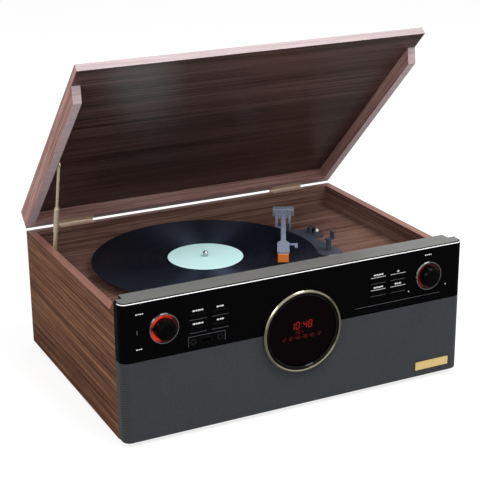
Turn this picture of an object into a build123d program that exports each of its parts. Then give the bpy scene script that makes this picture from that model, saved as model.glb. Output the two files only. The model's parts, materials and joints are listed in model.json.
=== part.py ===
from build123d import *
import math
import os

# Wooden music centre with a belt-drive turntable under a hinged lid.
# Millimetres. Origin on the floor, under the centre of the whole object with its lid open.
# X runs to the right, Y to the rear, Z up. The lid is drawn open.

# Cabinet
cabinet_width = 474.0
cabinet_depth = 347.0
side_height = 163.0
front_height = 179.0
border_height = 104.0
deck_height = 134.0
panel_thickness = 11.0
bottom_thickness = 9.0
deck_thickness = 9.0
foot_height = 6.0
foot_radius = 12.0
foot_inset = 36.0
foot_bevel = 1.5

# Front assembly
corner_radius = 10.0
front_depth = 19.0
band_depth = 31.5
fascia_wall = 3.0
top_edge_radius = 2.5
bottom_edge_radius = 2.0
border_gap = 0.4
pocket_depth = 9.6
pocket_margin = 4.0
plate_width = 50.0
plate_height = 11.0
plate_thickness = 1.4
plate_margin = 1.4
plate_recess = 1.0
plate_inset = 16.5
plate_z = 15.0

# Clock display
display_z = 101.2
ring_outer = 53.8
ring_inner = 46.5
ring_height = 6.0
ring_seat = 2.0
window_height = 2.2
window_foot = 1.6
clock_width = 66.0
clock_height = 30.0
clock_gap = 0.6
board_thickness = 1.6

# Round controls
knob_inset = 53.5
knob_z = 141.0
knob_radius = 12.8
knob_height = 13.5
knob_gap = 0.6
bezel_radius = 19.2
bezel_wall = 2.0
bezel_height = 3.6
glow_height = 1.6
glow_clearance = 0.7
shaft_radius = 3.0
shaft_clearance = 0.06
shaft_depth = 8.0
shaft_end_gap = 0.4
encoder_size = 12.5
encoder_front = 4.6

# Push buttons, four in a block on each side
button_width = 22.0
button_height = 6.6
button_proud = 1.2
button_pitch_x = 29.0
button_pitch_z = 16.6
button_centre_z = 139.0
button_inset_left = 112.5
button_inset_right = 112.5
button_clearance = 0.3
button_travel = 1.0
button_flange = 1.0
button_flange_thickness = 1.2
button_stem_radius = 2.0
button_corner = 1.0
button_edge = 0.5
flange_gap = 0.2
switch_size = 6.0
switch_height = 1.0
switch_clearance = 0.1

# Front sockets
socket_z = 115.2
usb_inset = 108.0
phone_jack_inset = 91.6
line_jack_inset = 126.6
usb_width = 14.4
usb_height = 6.8
usb_wall = 0.6
usb_tongue = 1.0
tongue_setback = 1.0
jack_radius = 4.2
jack_bore_radius = 1.75
jack_depth = 9.0

# Disc drawer
drawer_width = 127.0
drawer_height = 8.6
drawer_inset = 34.0
drawer_z = 109.6
drawer_length = 150.0
drawer_plate = 4.0
drawer_front = 2.6
drawer_clearance = 0.3
disc_recess_radius = 60.6
disc_recess_depth = 1.6
disc_margin = 6.0
lens_slot_width = 26.0
lens_slot_front = 14.0
lens_slot_rear = 52.0
case_wall = 2.0
case_length = 154.0
case_height = 17.0
sled_width = 90.0
sled_length = 96.0
sled_height = 14.0

# Loudspeakers
speaker_inset = 87.0
speaker_z = 52.0
speaker_hole = 36.0
basket_radius = 42.0
basket_rim = 2.5
basket_depth = 26.0
basket_flange = 3.0
basket_floor = 4.0
magnet_radius = 22.0
magnet_depth = 12.0
cone_wall = 1.2
cone_neck = 12.0
cone_rim_step = 2.0
cone_gap = 1.0

# Lid
open_angle = 44.6
lid_top_thickness = 9.5
lid_gap = 0.3
lid_lip = 12.0
fascia_clearance = 1.0
horn_clearance = 0.6
hinge_offset = 3.6
hinge_inset = 72.0
hinge_length = 50.0
leaf_thickness = 1.5
leaf_width = 9.0
knuckle_radius = 3.0
knuckle_gap = 0.3
pin_radius = 1.4
pin_clearance = 0.05
hinge_screw_pitch = 34.0
hinge_screw_radius = 1.2
hinge_screw_length = 9.0

# Lid stay, on the left
stay_low_y = 275.0
stay_low_z = 151.5
stay_lid_reach = 166.0
stay_lid_height = 5.0
stay_axis_offset = 4.4
stay_rod_radius = 1.9
stay_rod_clearance = 0.1
stay_tube_radius = 2.7
stay_sleeve_radius = 3.5
stay_tube_length = 34.0
stay_sleeve_length = 37.0
stay_eye_radius = 4.2
stay_eye_thickness = 1.4
stay_pin_radius = 2.0
stay_insert = 12.0
stay_side_gap = 0.4
stay_bridge = 6.0
stay_bore_floor = 1.0
stay_head_thickness = 1.2
bracket_thickness = 1.2
bracket_length = 26.0
bracket_height = 9.0
bracket_corner = 2.0
cap_radius = 4.4
cap_height = 2.2

# Turntable
spindle_x = -44.0
spindle_y = 183.5
spindle_radius = 3.5
spindle_rise = 8.0
spindle_nose = 2.5
record_radius = 150.5
record_thickness = 1.6
record_rim = 3.0
record_groove = 0.3
record_edge = 0.8
label_slope = 4.0
label_radius = 50.0
mat_radius = 138.0
mat_thickness = 2.0
platter_radius = 141.0
platter_thickness = 6.5
platter_bevel = 1.5
platter_lift = 2.0
hub_radius = 50.0
hub_depth = 7.5
hub_hole = 56.0
belt_thickness = 0.8
belt_height = 3.5
belt_clearance = 0.1
belt_drop = 2.0
pulley_radius = 6.0
pulley_distance = 76.0
pulley_angle = 135.0
pulley_hole = 11.0
motor_radius = 16.0
motor_height = 21.0
motor_shaft_radius = 1.0
motor_shaft_depth = 8.0
shaft_hole_margin = 1.5
pulley_flange = 1.5
pulley_flange_thickness = 0.8
pulley_margin = 0.4
chassis_thickness = 1.5
chassis_margin = 12.0
bearing_radius = 6.5
bearing_length = 20.0
bearing_floor = 1.4
spindle_end_gap = 0.1
bearing_clearance = 0.05

# Tonearm
arm_x = 107.5
arm_y = 249.0
arm_length = 150.0
arm_bearing = 242.0
arm_rise = 26.0
arm_width = 7.0
arm_thickness = 6.0
pivot_radius = 10.0
pivot_disc = 5.0
pivot_clearance = 0.3
yoke_width = 22.0
yoke_depth = 13.0
yoke_wall = 4.0
yoke_bridge = 3.0
yoke_top = 2.0
yoke_clearance = 0.4
arm_block = 11.0
arm_block_margin = 0.5
arm_neck = 4.0
arm_edge = 2.0
axle_radius = 1.5
weight_width = 30.0
weight_height = 11.0
weight_length = 14.0
weight_bevel = 1.2
head_length = 40.0
head_width = 16.0
head_thickness = 3.0
head_clearance = 0.4
head_overhang = 5.0
head_taper = 8.0
head_corner = 3.0
cartridge_length = 14.0
cartridge_width = 14.0
cartridge_height = 5.0
stylus_length = 15.0
stylus_width = 14.0
stylus_height = 11.0
stylus_overhang = 7.0
stylus_wedge = 5.0
stylus_heel = 3.2
needle_radius = 0.7
needle_tip = 0.2
needle_gap = 0.3
lifter_length = 11.0
lifter_width = 4.0
lifter_thickness = 1.6
lifter_reach = 14.0
lifter_setback = 34.0
cartridge_setback = 15.0
rest_x = 122.0
rest_y = 145.5
board_width = 35.0
board_height = 4.0
board_bevel = 0.8
lever_pad_width = 24.0
lever_pad_length = 34.0
lever_pad_corner = 5.0
rest_post_radius = 3.5
rest_wall = 2.2
rest_width = 7.0
rest_gap = 1.2
rest_horn = 9.0
lift_inner = 12.5
lift_outer = 16.0
lift_thickness = 2.5
lift_gap = 5.5
lift_start = 220.0
lift_end = 272.0
lift_post_radius = 2.2
lift_post_start = 0.5
lever_x = 138.0
lever_y = 222.0
lever_length = 16.0
lever_width = 2.6
lever_thickness = 1.8
lever_block = 9.0
lever_axle = 1.5
lever_hub = 3.2
lever_rise = 1.5
lever_tip_radius = 2.4
lever_drop = 0.2
lever_side_gap = 0.4
lever_cheek = 2.8
lever_cheek_top = 3.0

# Speed selector on the deck
selector_inset = 41.0
selector_y = 70.0
selector_travel = 8.0
selector_width = 6.0
selector_length = 9.0
selector_height = 7.0
selector_slot = 3.0
selector_clearance = 0.3
selector_washer = 8.0
selector_washer_thickness = 2.0

# Electronics and rear
rear_plate_width = 92.0
rear_plate_height = 42.0
rear_plate_inset = 87.0
rear_plate_z = 56.0
rear_plate_thickness = 2.0
rear_plate_lap = 4.0
inlet_width = 24.0
inlet_height = 15.0
inlet_depth = 16.0
inlet_wall = 2.0
line_out_radius = 4.15
line_out_length = 9.0
line_out_foot = 4.0
line_out_bore = 1.6
line_out_floor = 1.0
line_out_pitch = 16.0
vent_count = 7
vent_width = 3.0
vent_height = 34.0
vent_pitch = 9.0
vent_inset = 87.0
vent_z = 70.0
main_board_width = 150.0
main_board_depth = 110.0
main_board_inset = 61.0
main_board_rear_inset = 74.0
supply_width = 96.0
supply_depth = 62.0
supply_inset = 58.0
supply_rear_inset = 28.0
standoff = 6.0
standoff_radius = 3.0
standoff_inset = 6.0
component_gap = 16.0
heat_sink_width = 50.0
heat_sink_depth = 10.0
heat_sink_height = 24.0
radio_can_width = 34.0
radio_can_depth = 26.0
radio_can_height = 9.0
capacitor_size = 14.0
capacitor_height = 22.0
transformer_width = 42.0
transformer_depth = 40.0
transformer_height = 34.0
screw_head_radius = 3.4
screw_head_height = 1.6
screw_shank_radius = 1.6
rear_screw_length = 9.0
plate_screw_radius = 2.4
screw_cover = 1.0

# Places worked out from the sizes above
half_width = cabinet_width / 2
inner_half = half_width - panel_thickness
lid_tilt = math.radians(open_angle)
crown_rise = front_height + fascia_clearance + lid_top_thickness - side_height
lid_overhang = hinge_offset * (1 - math.cos(lid_tilt)) + crown_rise * math.sin(lid_tilt)
front = (knob_height - lid_overhang - cabinet_depth) / 2
rear = front + cabinet_depth
seam = front + front_depth
band = front + band_depth
base = foot_height
side_top = base + side_height
front_top = base + front_height
border = base + border_height
deck_top = base + deck_height
deck_under = deck_top - deck_thickness
hinge_y = rear + hinge_offset
hinge_z = side_top
lid_under = side_top + lid_gap
plate_under = front_top + fascia_clearance
lid_crown = plate_under + lid_top_thickness
board_front = front + fascia_wall + pocket_depth - board_thickness
plate_x = half_width - plate_inset - plate_width / 2
knob_x = half_width - knob_inset
button_centre_left = button_inset_left - half_width
button_centre_right = half_width - button_inset_right
usb_x = usb_inset - half_width
phone_jack_x = phone_jack_inset - half_width
line_jack_x = line_jack_inset - half_width
drawer_x = half_width - drawer_inset - drawer_width / 2
speaker_x = half_width - speaker_inset
hinge_x = half_width - hinge_inset
selector_x = half_width - selector_inset
rear_plate_x = half_width - rear_plate_inset
vent_x = vent_inset - half_width
spindle_place = (spindle_x, front + spindle_y)
arm_place = (arm_x, front + arm_y)


def block(x0, x1, y0, y1, z0, z1):
    centre = Pos((x0 + x1) / 2, (y0 + y1) / 2, (z0 + z1) / 2)
    return centre * Box(x1 - x0, y1 - y0, z1 - z0)


def round_x(y, z, radius, x0, x1):
    low = (Align.CENTER, Align.CENTER, Align.MIN)
    return Pos(x0, y, z) * Rot(Y=90) * Cylinder(radius, x1 - x0, align=low)


def round_y(x, z, radius, y0, y1):
    low = (Align.CENTER, Align.CENTER, Align.MIN)
    return Pos(x, y0, z) * Rot(X=-90) * Cylinder(radius, y1 - y0, align=low)


def round_z(x, y, radius, z0, z1):
    low = (Align.CENTER, Align.CENTER, Align.MIN)
    return Pos(x, y, z0) * Cylinder(radius, z1 - z0, align=low)


def turned_y(points, x, z):
    """A solid of revolution about Y. The points are radius and distance in front of the fascia."""
    face = make_face(Polyline([(r, front - ahead) for r, ahead in points], close=True))
    return Pos(x, 0, z) * revolve(face, Axis.Y)


def turned_z(points, x, y):
    """A solid of revolution about Z. The points are radius and height."""
    face = make_face(Polyline([(r, h) for r, h in points], close=True))
    return Pos(x, y, 0) * Rot(X=90) * revolve(face, Axis.Y)


def rounded_front(half, y0, y1, z0, z1, radius):
    body = block(-half, half, y0, y1, z0, z1)
    uprights = body.edges().filter_by(Axis.Z).sort_by(Axis.Y)[:2]
    return fillet(uprights, radius)


def front_core(z0, z1):
    """The space behind the front skin, which the baffle board fills."""
    half = half_width - fascia_wall
    return rounded_front(half, front + fascia_wall, seam, z0, z1, corner_radius - fascia_wall)


def opened(shape):
    """Swing a shape drawn on the closed lid to the open lid."""
    pivot = Pos(0, hinge_y, hinge_z)
    return pivot * Rot(X=-open_angle) * Pos(0, -hinge_y, -hinge_z) * shape


def group(shapes):
    return Compound(children=[s.solid() if len(s.solids()) == 1 else s for s in shapes])


def button_centres(side):
    middle = button_centre_left if side == "left" else button_centre_right
    centres = []
    for row in (1, -1):
        for column in (-1, 1):
            x = middle + column * button_pitch_x / 2
            z = base + button_centre_z + row * button_pitch_z / 2
            centres.append((x, z))
    return centres


def all_button_centres():
    return button_centres("left") + button_centres("right")


# Cabinet
def side_panel(sign):
    outline = [
        (seam, base),
        (rear, base),
        (rear, side_top),
        (band, side_top),
        (seam, front_top),
    ]
    face = make_face(Plane.YZ * Polyline(outline, close=True))
    start = -half_width if sign < 0 else inner_half
    return Pos(start, 0, 0) * extrude(face, panel_thickness, dir=(1, 0, 0))


def rear_plate_box(lap, y0, y1):
    half_w = rear_plate_width / 2 - lap
    half_h = rear_plate_height / 2 - lap
    z = base + rear_plate_z
    return block(rear_plate_x - half_w, rear_plate_x + half_w, y0, y1, z - half_h, z + half_h)


def leaf_recess(sign):
    x = sign * hinge_x
    half = hinge_length / 2
    return block(x - half, x + half, rear - leaf_width, rear, side_top - leaf_thickness, side_top)


def hinge_screw_places():
    places = []
    for sign in (-1, 1):
        for step in (-0.5, 0.5):
            places.append((sign * hinge_x + step * hinge_screw_pitch, rear - leaf_width / 2))
    return places


def rear_panel():
    panel = block(-inner_half, inner_half, rear - panel_thickness, rear, base, side_top)
    panel -= rear_plate_box(rear_plate_lap, rear - panel_thickness, rear)
    panel -= rear_plate_box(0, rear - rear_plate_thickness, rear)
    for index in range(vent_count):
        x = vent_x + (index - (vent_count - 1) / 2) * vent_pitch
        z = base + vent_z
        panel -= block(x - vent_width / 2, x + vent_width / 2, rear - panel_thickness, rear,
                       z - vent_height / 2, z + vent_height / 2)
    for sign in (-1, 1):
        panel -= leaf_recess(sign)
    leaf_seat = side_top - leaf_thickness
    for x, y in hinge_screw_places():
        panel -= round_z(x, y, hinge_screw_radius, leaf_seat - hinge_screw_length, leaf_seat)
    for x, z in rear_screw_places():
        depth = rear - rear_screw_length
        panel -= round_y(x, z, screw_shank_radius, depth, rear - rear_plate_thickness)
    return panel


def rear_screw_places():
    places = []
    for sx in (-1, 1):
        for sz in (-1, 1):
            x = rear_plate_x + sx * (rear_plate_width - rear_plate_lap) / 2
            z = base + rear_plate_z + sz * (rear_plate_height - rear_plate_lap) / 2
            places.append((x, z))
    return places


def foot_places():
    places = []
    for sx in (-1, 1):
        for y in (front + foot_inset, rear - foot_inset):
            places.append((sx * (half_width - foot_inset), y))
    return places


def bottom_panel():
    top = base + bottom_thickness
    panel = block(-inner_half, inner_half, seam, rear - panel_thickness, base, top)
    for x, y in foot_places():
        panel -= round_z(x, y, screw_shank_radius, base, base + bottom_thickness - screw_cover)
    return panel


def pulley_place():
    angle = math.radians(pulley_angle)
    x, y = spindle_place
    return x + pulley_distance * math.cos(angle), y + pulley_distance * math.sin(angle)


def wheel_outline(big, small):
    """A round outline about the spindle and one about the pulley, with their outer tangents."""
    cx, cy = spindle_place
    px, py = pulley_place()
    along = math.radians(pulley_angle)
    spread = math.acos((big - small) / pulley_distance)
    corners = []
    for ray in (along + spread, along - spread):
        wheel = (cx + big * math.cos(ray), cy + big * math.sin(ray))
        pulley = (px + small * math.cos(ray), py + small * math.sin(ray))
        corners += [wheel, pulley] if ray > along else [pulley, wheel]
    face = make_face(Polyline(corners, close=True))
    face += Pos(cx, cy) * Circle(big)
    return face + Pos(px, py) * Circle(small)


def well_outline(margin):
    return wheel_outline(hub_hole + margin, pulley_hole + margin)


def deck_board():
    board = block(-inner_half, inner_half, seam, rear - panel_thickness, deck_under, deck_top)
    board -= Pos(0, 0, deck_under) * extrude(well_outline(0), deck_thickness)
    y = front + selector_y
    reach = selector_travel + selector_slot / 2 + selector_clearance
    board -= block(selector_x - selector_slot / 2, selector_x + selector_slot / 2,
                   y - reach, y + reach, deck_under, deck_top)
    return board


def control_pocket(side):
    y0 = front + fascia_wall
    y1 = y0 + pocket_depth
    margin = button_pitch_z
    if side == "left":
        x0 = -knob_x - encoder_size
        x1 = button_centre_left + button_pitch_x / 2 + button_width / 2 + pocket_margin
        z0 = base + socket_z - usb_height
    else:
        x0 = button_centre_right - button_pitch_x / 2 - button_width / 2 - pocket_margin
        x1 = knob_x + encoder_size
        z0 = base + button_centre_z - margin
    return x0, x1, y0, y1, z0, base + button_centre_z + margin


def drawer_slot(margin, y0, y1):
    half = drawer_width / 2 + margin
    z = base + drawer_z
    half_z = drawer_height / 2 + margin
    return block(drawer_x - half, drawer_x + half, y0, y1, z - half_z, z + half_z)


def front_baffle():
    board = front_core(base, front_top - fascia_wall)
    for sign in (-1, 1):
        board -= round_y(sign * speaker_x, base + speaker_z, speaker_hole, front, seam)
    board -= round_y(0, base + display_z, ring_inner + ring_seat, front, seam)
    for side in ("left", "right"):
        board -= block(*control_pocket(side))
    board -= drawer_slot(drawer_clearance, front, seam)
    return board


def display_hole(y0, y1):
    return round_y(0, base + display_z, ring_inner + ring_seat, y0, y1)


def fascia():
    shell = rounded_front(half_width, front, seam, border, front_top, corner_radius)
    rim = shell.faces().sort_by(Axis.Z)[-1].edges().sort_by(Axis.Y)[:-1]
    arcs_and_front = [e for e in rim if e.center().Y < front + corner_radius]
    shell = fillet(arcs_and_front, top_edge_radius)
    shell -= front_core(border, front_top - fascia_wall)
    shell += block(-inner_half, inner_half, seam, band, front_top - fascia_wall, front_top)
    lip_front = band - fascia_wall
    shell += block(-inner_half, inner_half, lip_front, band, deck_top, front_top - fascia_wall)
    skin_back = front + fascia_wall
    shell -= display_hole(front, skin_back)
    for sign in (-1, 1):
        hole = shaft_radius + button_clearance
        shell -= round_y(sign * knob_x, base + knob_z, hole, front, skin_back)
    half_w = button_width / 2 + button_clearance
    half_h = button_height / 2 + button_clearance
    for x, z in all_button_centres():
        shell -= block(x - half_w, x + half_w, front, skin_back, z - half_h, z + half_h)
    z = base + socket_z
    shell -= block(usb_x - usb_width / 2, usb_x + usb_width / 2, front, skin_back,
                   z - usb_height / 2, z + usb_height / 2)
    for x in (phone_jack_x, line_jack_x):
        shell -= round_y(x, z, jack_radius, front, skin_back)
    shell -= drawer_slot(drawer_clearance, front, skin_back)
    return shell


def name_recess(margin, y0, y1):
    half_w = plate_width / 2 + margin
    half_h = plate_height / 2 + margin
    z = base + plate_z
    return block(plate_x - half_w, plate_x + half_w, y0, y1, z - half_h, z + half_h)


def speaker_grille():
    top = border - border_gap
    shell = rounded_front(half_width, front, seam, base, top, corner_radius)
    rim = shell.faces().sort_by(Axis.Z)[0].edges()
    arcs_and_front = [e for e in rim if e.center().Y < front + corner_radius]
    shell = fillet(arcs_and_front, bottom_edge_radius)
    shell -= front_core(base, top)
    shell -= display_hole(front, front + fascia_wall)
    shell -= name_recess(plate_margin, front, front + plate_recess)
    return shell


def nameplate():
    y0 = front + plate_recess - plate_thickness
    return name_recess(0, y0, front + plate_recess)


def feet():
    pads = []
    profile = [
        (0, 0),
        (foot_radius - foot_bevel, 0),
        (foot_radius, foot_bevel),
        (foot_radius, base),
        (0, base),
    ]
    for x, y in foot_places():
        pad = turned_z(profile, x, y)
        pad -= round_z(x, y, screw_head_radius, 0, base - screw_head_height)
        pad -= round_z(x, y, screw_shank_radius, 0, base)
        pads.append(pad)
    return group(pads)


def screws():
    """The cabinet's loose screws: feet, rear plate, and the shouldered one that holds the lid stay."""
    pieces = [stay_pivot()]
    for x, y in foot_places():
        seat = base - screw_head_height
        tip = base + bottom_thickness - screw_cover
        head = round_z(x, y, screw_head_radius, seat - screw_head_height, seat)
        shank = round_z(x, y, screw_shank_radius, seat, tip)
        pieces.append(head + shank)
    for x, z in rear_screw_places():
        head = round_y(x, z, plate_screw_radius, rear, rear + screw_head_height)
        tip = rear - rear_screw_length
        pieces.append(head + round_y(x, z, screw_shank_radius, tip, rear))
    return group(pieces)


# Loudspeakers
def speaker_baskets():
    baskets = []
    for sign in (-1, 1):
        x = sign * speaker_x
        z = base + speaker_z
        back = seam + basket_depth
        outer = Pos(x, 0, z) * revolve(make_face(Polyline([
            (cone_neck, seam + basket_rim + cone_wall + cone_gap),
            (speaker_hole, seam),
            (basket_radius, seam),
            (basket_radius, seam + basket_rim),
            (basket_radius - basket_flange, seam + basket_rim),
            (magnet_radius - basket_flange, back),
            (magnet_radius, back),
            (magnet_radius, back + magnet_depth),
            (0, back + magnet_depth),
            (0, back - basket_floor),
            (cone_neck, back - basket_floor),
        ], close=True)), Axis.Y)
        baskets.append(outer)
    return group(baskets)


def speaker_cones():
    cones = []
    for sign in (-1, 1):
        x = sign * speaker_x
        z = base + speaker_z
        rim_y = seam - cone_rim_step
        neck_y = seam + basket_rim + cone_gap
        cone = Pos(x, 0, z) * revolve(make_face(Polyline([
            (speaker_hole, rim_y),
            (speaker_hole, rim_y + cone_wall),
            (cone_neck, neck_y),
            (0, neck_y),
            (0, neck_y - cone_wall - 2),
            (cone_neck * 0.6, neck_y - cone_wall - 1),
            (cone_neck, neck_y - cone_wall),
        ], close=True)), Axis.Y)
        cones.append(cone)
    return group(cones)


# Clock display
def display_bezel():
    lip = ring_inner
    profile = [
        (lip, 0),
        (ring_outer, 0),
        (ring_outer, ring_height - 1.8),
        (ring_outer - 0.9, ring_height - 0.4),
        (ring_outer - 2.0, ring_height),
        (ring_outer - 3.1, ring_height - 0.5),
        (ring_outer - 3.8, ring_height - 2.0),
        (lip + 2.4, ring_height - 2.4),
        (lip + 1.8, ring_height - 1.3),
        (lip + 0.9, ring_height - 1.0),
        (lip, ring_height - 1.8),
    ]
    return turned_y(profile, 0, base + display_z)


def display_window():
    profile = [
        (0, -window_foot),
        (ring_inner + ring_seat, -window_foot),
        (ring_inner + ring_seat, 0),
        (ring_inner, 0),
        (ring_inner, window_height - 0.8),
        (ring_inner - 0.8, window_height),
        (0, window_height),
    ]
    return turned_y(profile, 0, base + display_z)


def clock_display():
    z = base + display_z
    y0 = front + window_foot + clock_gap
    y1 = board_front
    module = block(-clock_width / 2, clock_width / 2, y0, y1, z - clock_height / 2, z + clock_height / 2)
    return module + round_y(0, z, ring_inner + ring_seat, y1, y1 + board_thickness)


# Round controls
def knob_bezels():
    rings = []
    inner = bezel_radius - bezel_wall
    for sign in (-1, 1):
        profile = [
            (inner, 0),
            (bezel_radius, 0),
            (bezel_radius, bezel_height * 0.55),
            (bezel_radius - bezel_wall * 0.35, bezel_height),
            (inner + bezel_wall * 0.2, bezel_height),
            (inner, bezel_height * 0.8),
        ]
        rings.append(turned_y(profile, sign * knob_x, base + knob_z))
    return group(rings)


def knob_glow_rings():
    rings = []
    outer = bezel_radius - bezel_wall
    inner = knob_radius + glow_clearance
    for sign in (-1, 1):
        profile = [(inner, 0), (outer, 0), (outer, glow_height), (inner, glow_height)]
        rings.append(turned_y(profile, sign * knob_x, base + knob_z))
    return group(rings)


def knob(sign):
    """A domed knob and its stem, which turns in the control's bush."""
    profile = [
        (0, -shaft_depth),
        (shaft_radius, -shaft_depth),
        (shaft_radius, knob_gap),
        (knob_radius, knob_gap),
        (knob_radius, knob_height * 0.55),
        (knob_radius * 0.97, knob_height * 0.72),
        (knob_radius * 0.88, knob_height * 0.86),
        (knob_radius * 0.70, knob_height * 0.95),
        (knob_radius * 0.35, knob_height),
        (0, knob_height),
    ]
    return turned_y(profile, sign * knob_x, base + knob_z)


def push_button(x, z):
    half_w = button_width / 2
    half_h = button_height / 2
    seat = front + fascia_wall + flange_gap
    cap = block(x - half_w, x + half_w, front - button_proud, seat, z - half_h, z + half_h)
    cap = fillet(cap.edges().filter_by(Axis.Y), button_corner)
    cap = fillet(cap.faces().sort_by(Axis.Y)[0].edges(), button_edge)
    back = seat + button_flange_thickness
    cap += block(x - half_w - button_flange, x + half_w + button_flange, seat, back,
                 z - half_h - button_flange, z + half_h + button_flange)
    tip = board_front - switch_height - button_travel - switch_clearance
    return cap + round_y(x, z, button_stem_radius, back, tip)


def control_boards():
    boards = []
    for side in ("left", "right"):
        x0, x1, _, y1, z0, z1 = control_pocket(side)
        board = block(x0, x1, board_front, y1, z0, z1)
        sign = -1 if side == "left" else 1
        half = encoder_size / 2
        x = sign * knob_x
        z = base + knob_z
        body = block(x - half, x + half, front + encoder_front, board_front, z - half, z + half)
        board += body
        board -= round_y(x, z, shaft_radius + shaft_clearance, front, front + shaft_depth + shaft_end_gap)
        for bx, bz in button_centres(side):
            half = switch_size / 2
            board += block(bx - half, bx + half, board_front - switch_height, board_front,
                           bz - half, bz + half)
        boards.append(board)
    return group(boards)


def front_sockets():
    z = base + socket_z
    x0 = usb_x - usb_width / 2
    x1 = usb_x + usb_width / 2
    z0 = z - usb_height / 2
    z1 = z + usb_height / 2
    usb = block(x0, x1, front, board_front, z0, z1)
    usb -= block(x0 + usb_wall, x1 - usb_wall, front, board_front - usb_wall, z0 + usb_wall, z1 - usb_wall)
    usb += block(x0 + usb_wall, x1 - usb_wall, front + tongue_setback, board_front - usb_wall,
                 z1 - usb_wall - usb_tongue, z1 - usb_wall)
    sockets = [usb]
    for x in (phone_jack_x, line_jack_x):
        jack = round_y(x, z, jack_radius, front, board_front)
        jack -= round_y(x, z, jack_bore_radius, front, front + jack_depth)
        sockets.append(jack)
    return group(sockets)


# Disc drawer
def cd_drawer():
    half = drawer_width / 2
    z0 = base + drawer_z - drawer_height / 2
    z1 = z0 + drawer_height
    door = block(drawer_x - half, drawer_x + half, front, front + drawer_front, z0, z1)
    tray = block(drawer_x - half, drawer_x + half, front + drawer_front, front + drawer_length,
                 z0, z0 + drawer_plate)
    disc_y = front + drawer_front + disc_margin + disc_recess_radius
    recess = z0 + drawer_plate - disc_recess_depth
    tray -= round_z(drawer_x, disc_y, disc_recess_radius, recess, z0 + drawer_plate)
    half = lens_slot_width / 2
    tray -= block(drawer_x - half, drawer_x + half, disc_y - lens_slot_front, disc_y + lens_slot_rear,
                  z0, z0 + drawer_plate)
    return door + tray


def cd_mechanism():
    half = drawer_width / 2 + drawer_clearance
    floor = base + drawer_z - drawer_height / 2 - drawer_clearance
    top = floor + case_height
    back = seam + case_length
    case = block(drawer_x - half - case_wall, drawer_x + half + case_wall, seam, back,
                 floor - case_wall, top)
    case -= block(drawer_x - half, drawer_x + half, seam, back - case_wall, floor, top - case_wall)
    sled_y = seam + case_length / 2
    case += block(drawer_x - sled_width / 2, drawer_x + sled_width / 2, sled_y - sled_length / 2,
                  sled_y + sled_length / 2, floor - case_wall - sled_height, floor - case_wall)
    return case


# Lid, drawn closed and then swung open
def lid_top():
    return opened(block(-half_width, half_width, front - lid_lip, rear, plate_under, lid_crown))


def lid_side_wall(sign):
    """The front end slopes as the side panel's step does, and clears it."""
    slope = (band - seam) / (front_top - side_top)
    low_y = band + horn_clearance - slope * (lid_under - side_top)
    high_y = band + horn_clearance - slope * (plate_under - side_top)
    outline = [(low_y, lid_under), (rear, lid_under), (rear, plate_under), (high_y, plate_under)]
    face = make_face(Plane.YZ * Polyline(outline, close=True))
    start = -half_width if sign < 0 else inner_half
    return Pos(start, 0, 0) * extrude(face, panel_thickness, dir=(1, 0, 0))


def lid_walls():
    back = block(-inner_half, inner_half, rear - panel_thickness, rear, lid_under, plate_under)
    for sign in (-1, 1):
        x = sign * hinge_x
        half = hinge_length / 2
        back -= block(x - half, x + half, rear - leaf_width, rear, lid_under, side_top + leaf_thickness)
    for x, y in hinge_screw_places():
        seat = side_top + leaf_thickness
        back -= round_z(x, y, hinge_screw_radius, seat, seat + hinge_screw_length)
    return group([opened(lid_side_wall(-1)), opened(lid_side_wall(1)), opened(back)])


def hinge_leaf(sign, upper):
    """One leaf with its knuckles: the lower leaf has the outer two, the upper leaf the middle one."""
    x = sign * hinge_x
    third = hinge_length / 3
    z0 = side_top if upper else side_top - leaf_thickness
    gap = lid_gap / 2 if upper else 0
    leaf = block(x - hinge_length / 2, x + hinge_length / 2, rear - leaf_width, rear, z0 + gap,
                 z0 + leaf_thickness)
    bore = pin_radius + pin_clearance
    if upper:
        spans = [(x - third / 2 + knuckle_gap / 2, x + third / 2 - knuckle_gap / 2)]
    else:
        spans = [(x - hinge_length / 2, x - third / 2 - knuckle_gap / 2),
                 (x + third / 2 + knuckle_gap / 2, x + hinge_length / 2)]
        bore = pin_radius
    for x0, x1 in spans:
        leaf += block(x0, x1, rear, hinge_y, z0 + gap, z0 + leaf_thickness)
        leaf += round_x(hinge_y, hinge_z, knuckle_radius, x0, x1)
        leaf -= round_x(hinge_y, hinge_z, bore, x0, x1)
    for sx, sy in hinge_screw_places():
        leaf -= round_z(sx, sy, hinge_screw_radius, z0, z0 + leaf_thickness)
    return leaf


def hinge_screw(x, y, upper):
    """A countersunk screw whose flat head lies flush in the leaf."""
    seat = side_top + leaf_thickness if upper else side_top - leaf_thickness
    if upper:
        return round_z(x, y, hinge_screw_radius, side_top + lid_gap / 2, seat + hinge_screw_length)
    return round_z(x, y, hinge_screw_radius, seat - hinge_screw_length, side_top)


def hinge_lower_leaves():
    pieces = []
    for sign in (-1, 1):
        pieces.append(hinge_leaf(sign, False))
        x = sign * hinge_x
        half = hinge_length / 2
        pieces.append(round_x(hinge_y, hinge_z, pin_radius, x - half, x + half))
    for x, y in hinge_screw_places():
        pieces.append(hinge_screw(x, y, False))
    return group(pieces)


def hinge_upper_leaves():
    pieces = [opened(hinge_leaf(sign, True)) for sign in (-1, 1)]
    for x, y in hinge_screw_places():
        pieces.append(opened(hinge_screw(x, y, True)))
    return group(pieces)


# Lid stay
def stay_ends():
    """The lower pivot and the upper pivot, in Y and Z, with the lid open."""
    low = (front + stay_low_y, base + stay_low_z)
    rise = stay_lid_height + lid_gap
    y = hinge_y - stay_lid_reach * math.cos(lid_tilt) + rise * math.sin(lid_tilt)
    z = hinge_z + stay_lid_reach * math.sin(lid_tilt) + rise * math.cos(lid_tilt)
    return low, (y, z)


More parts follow.
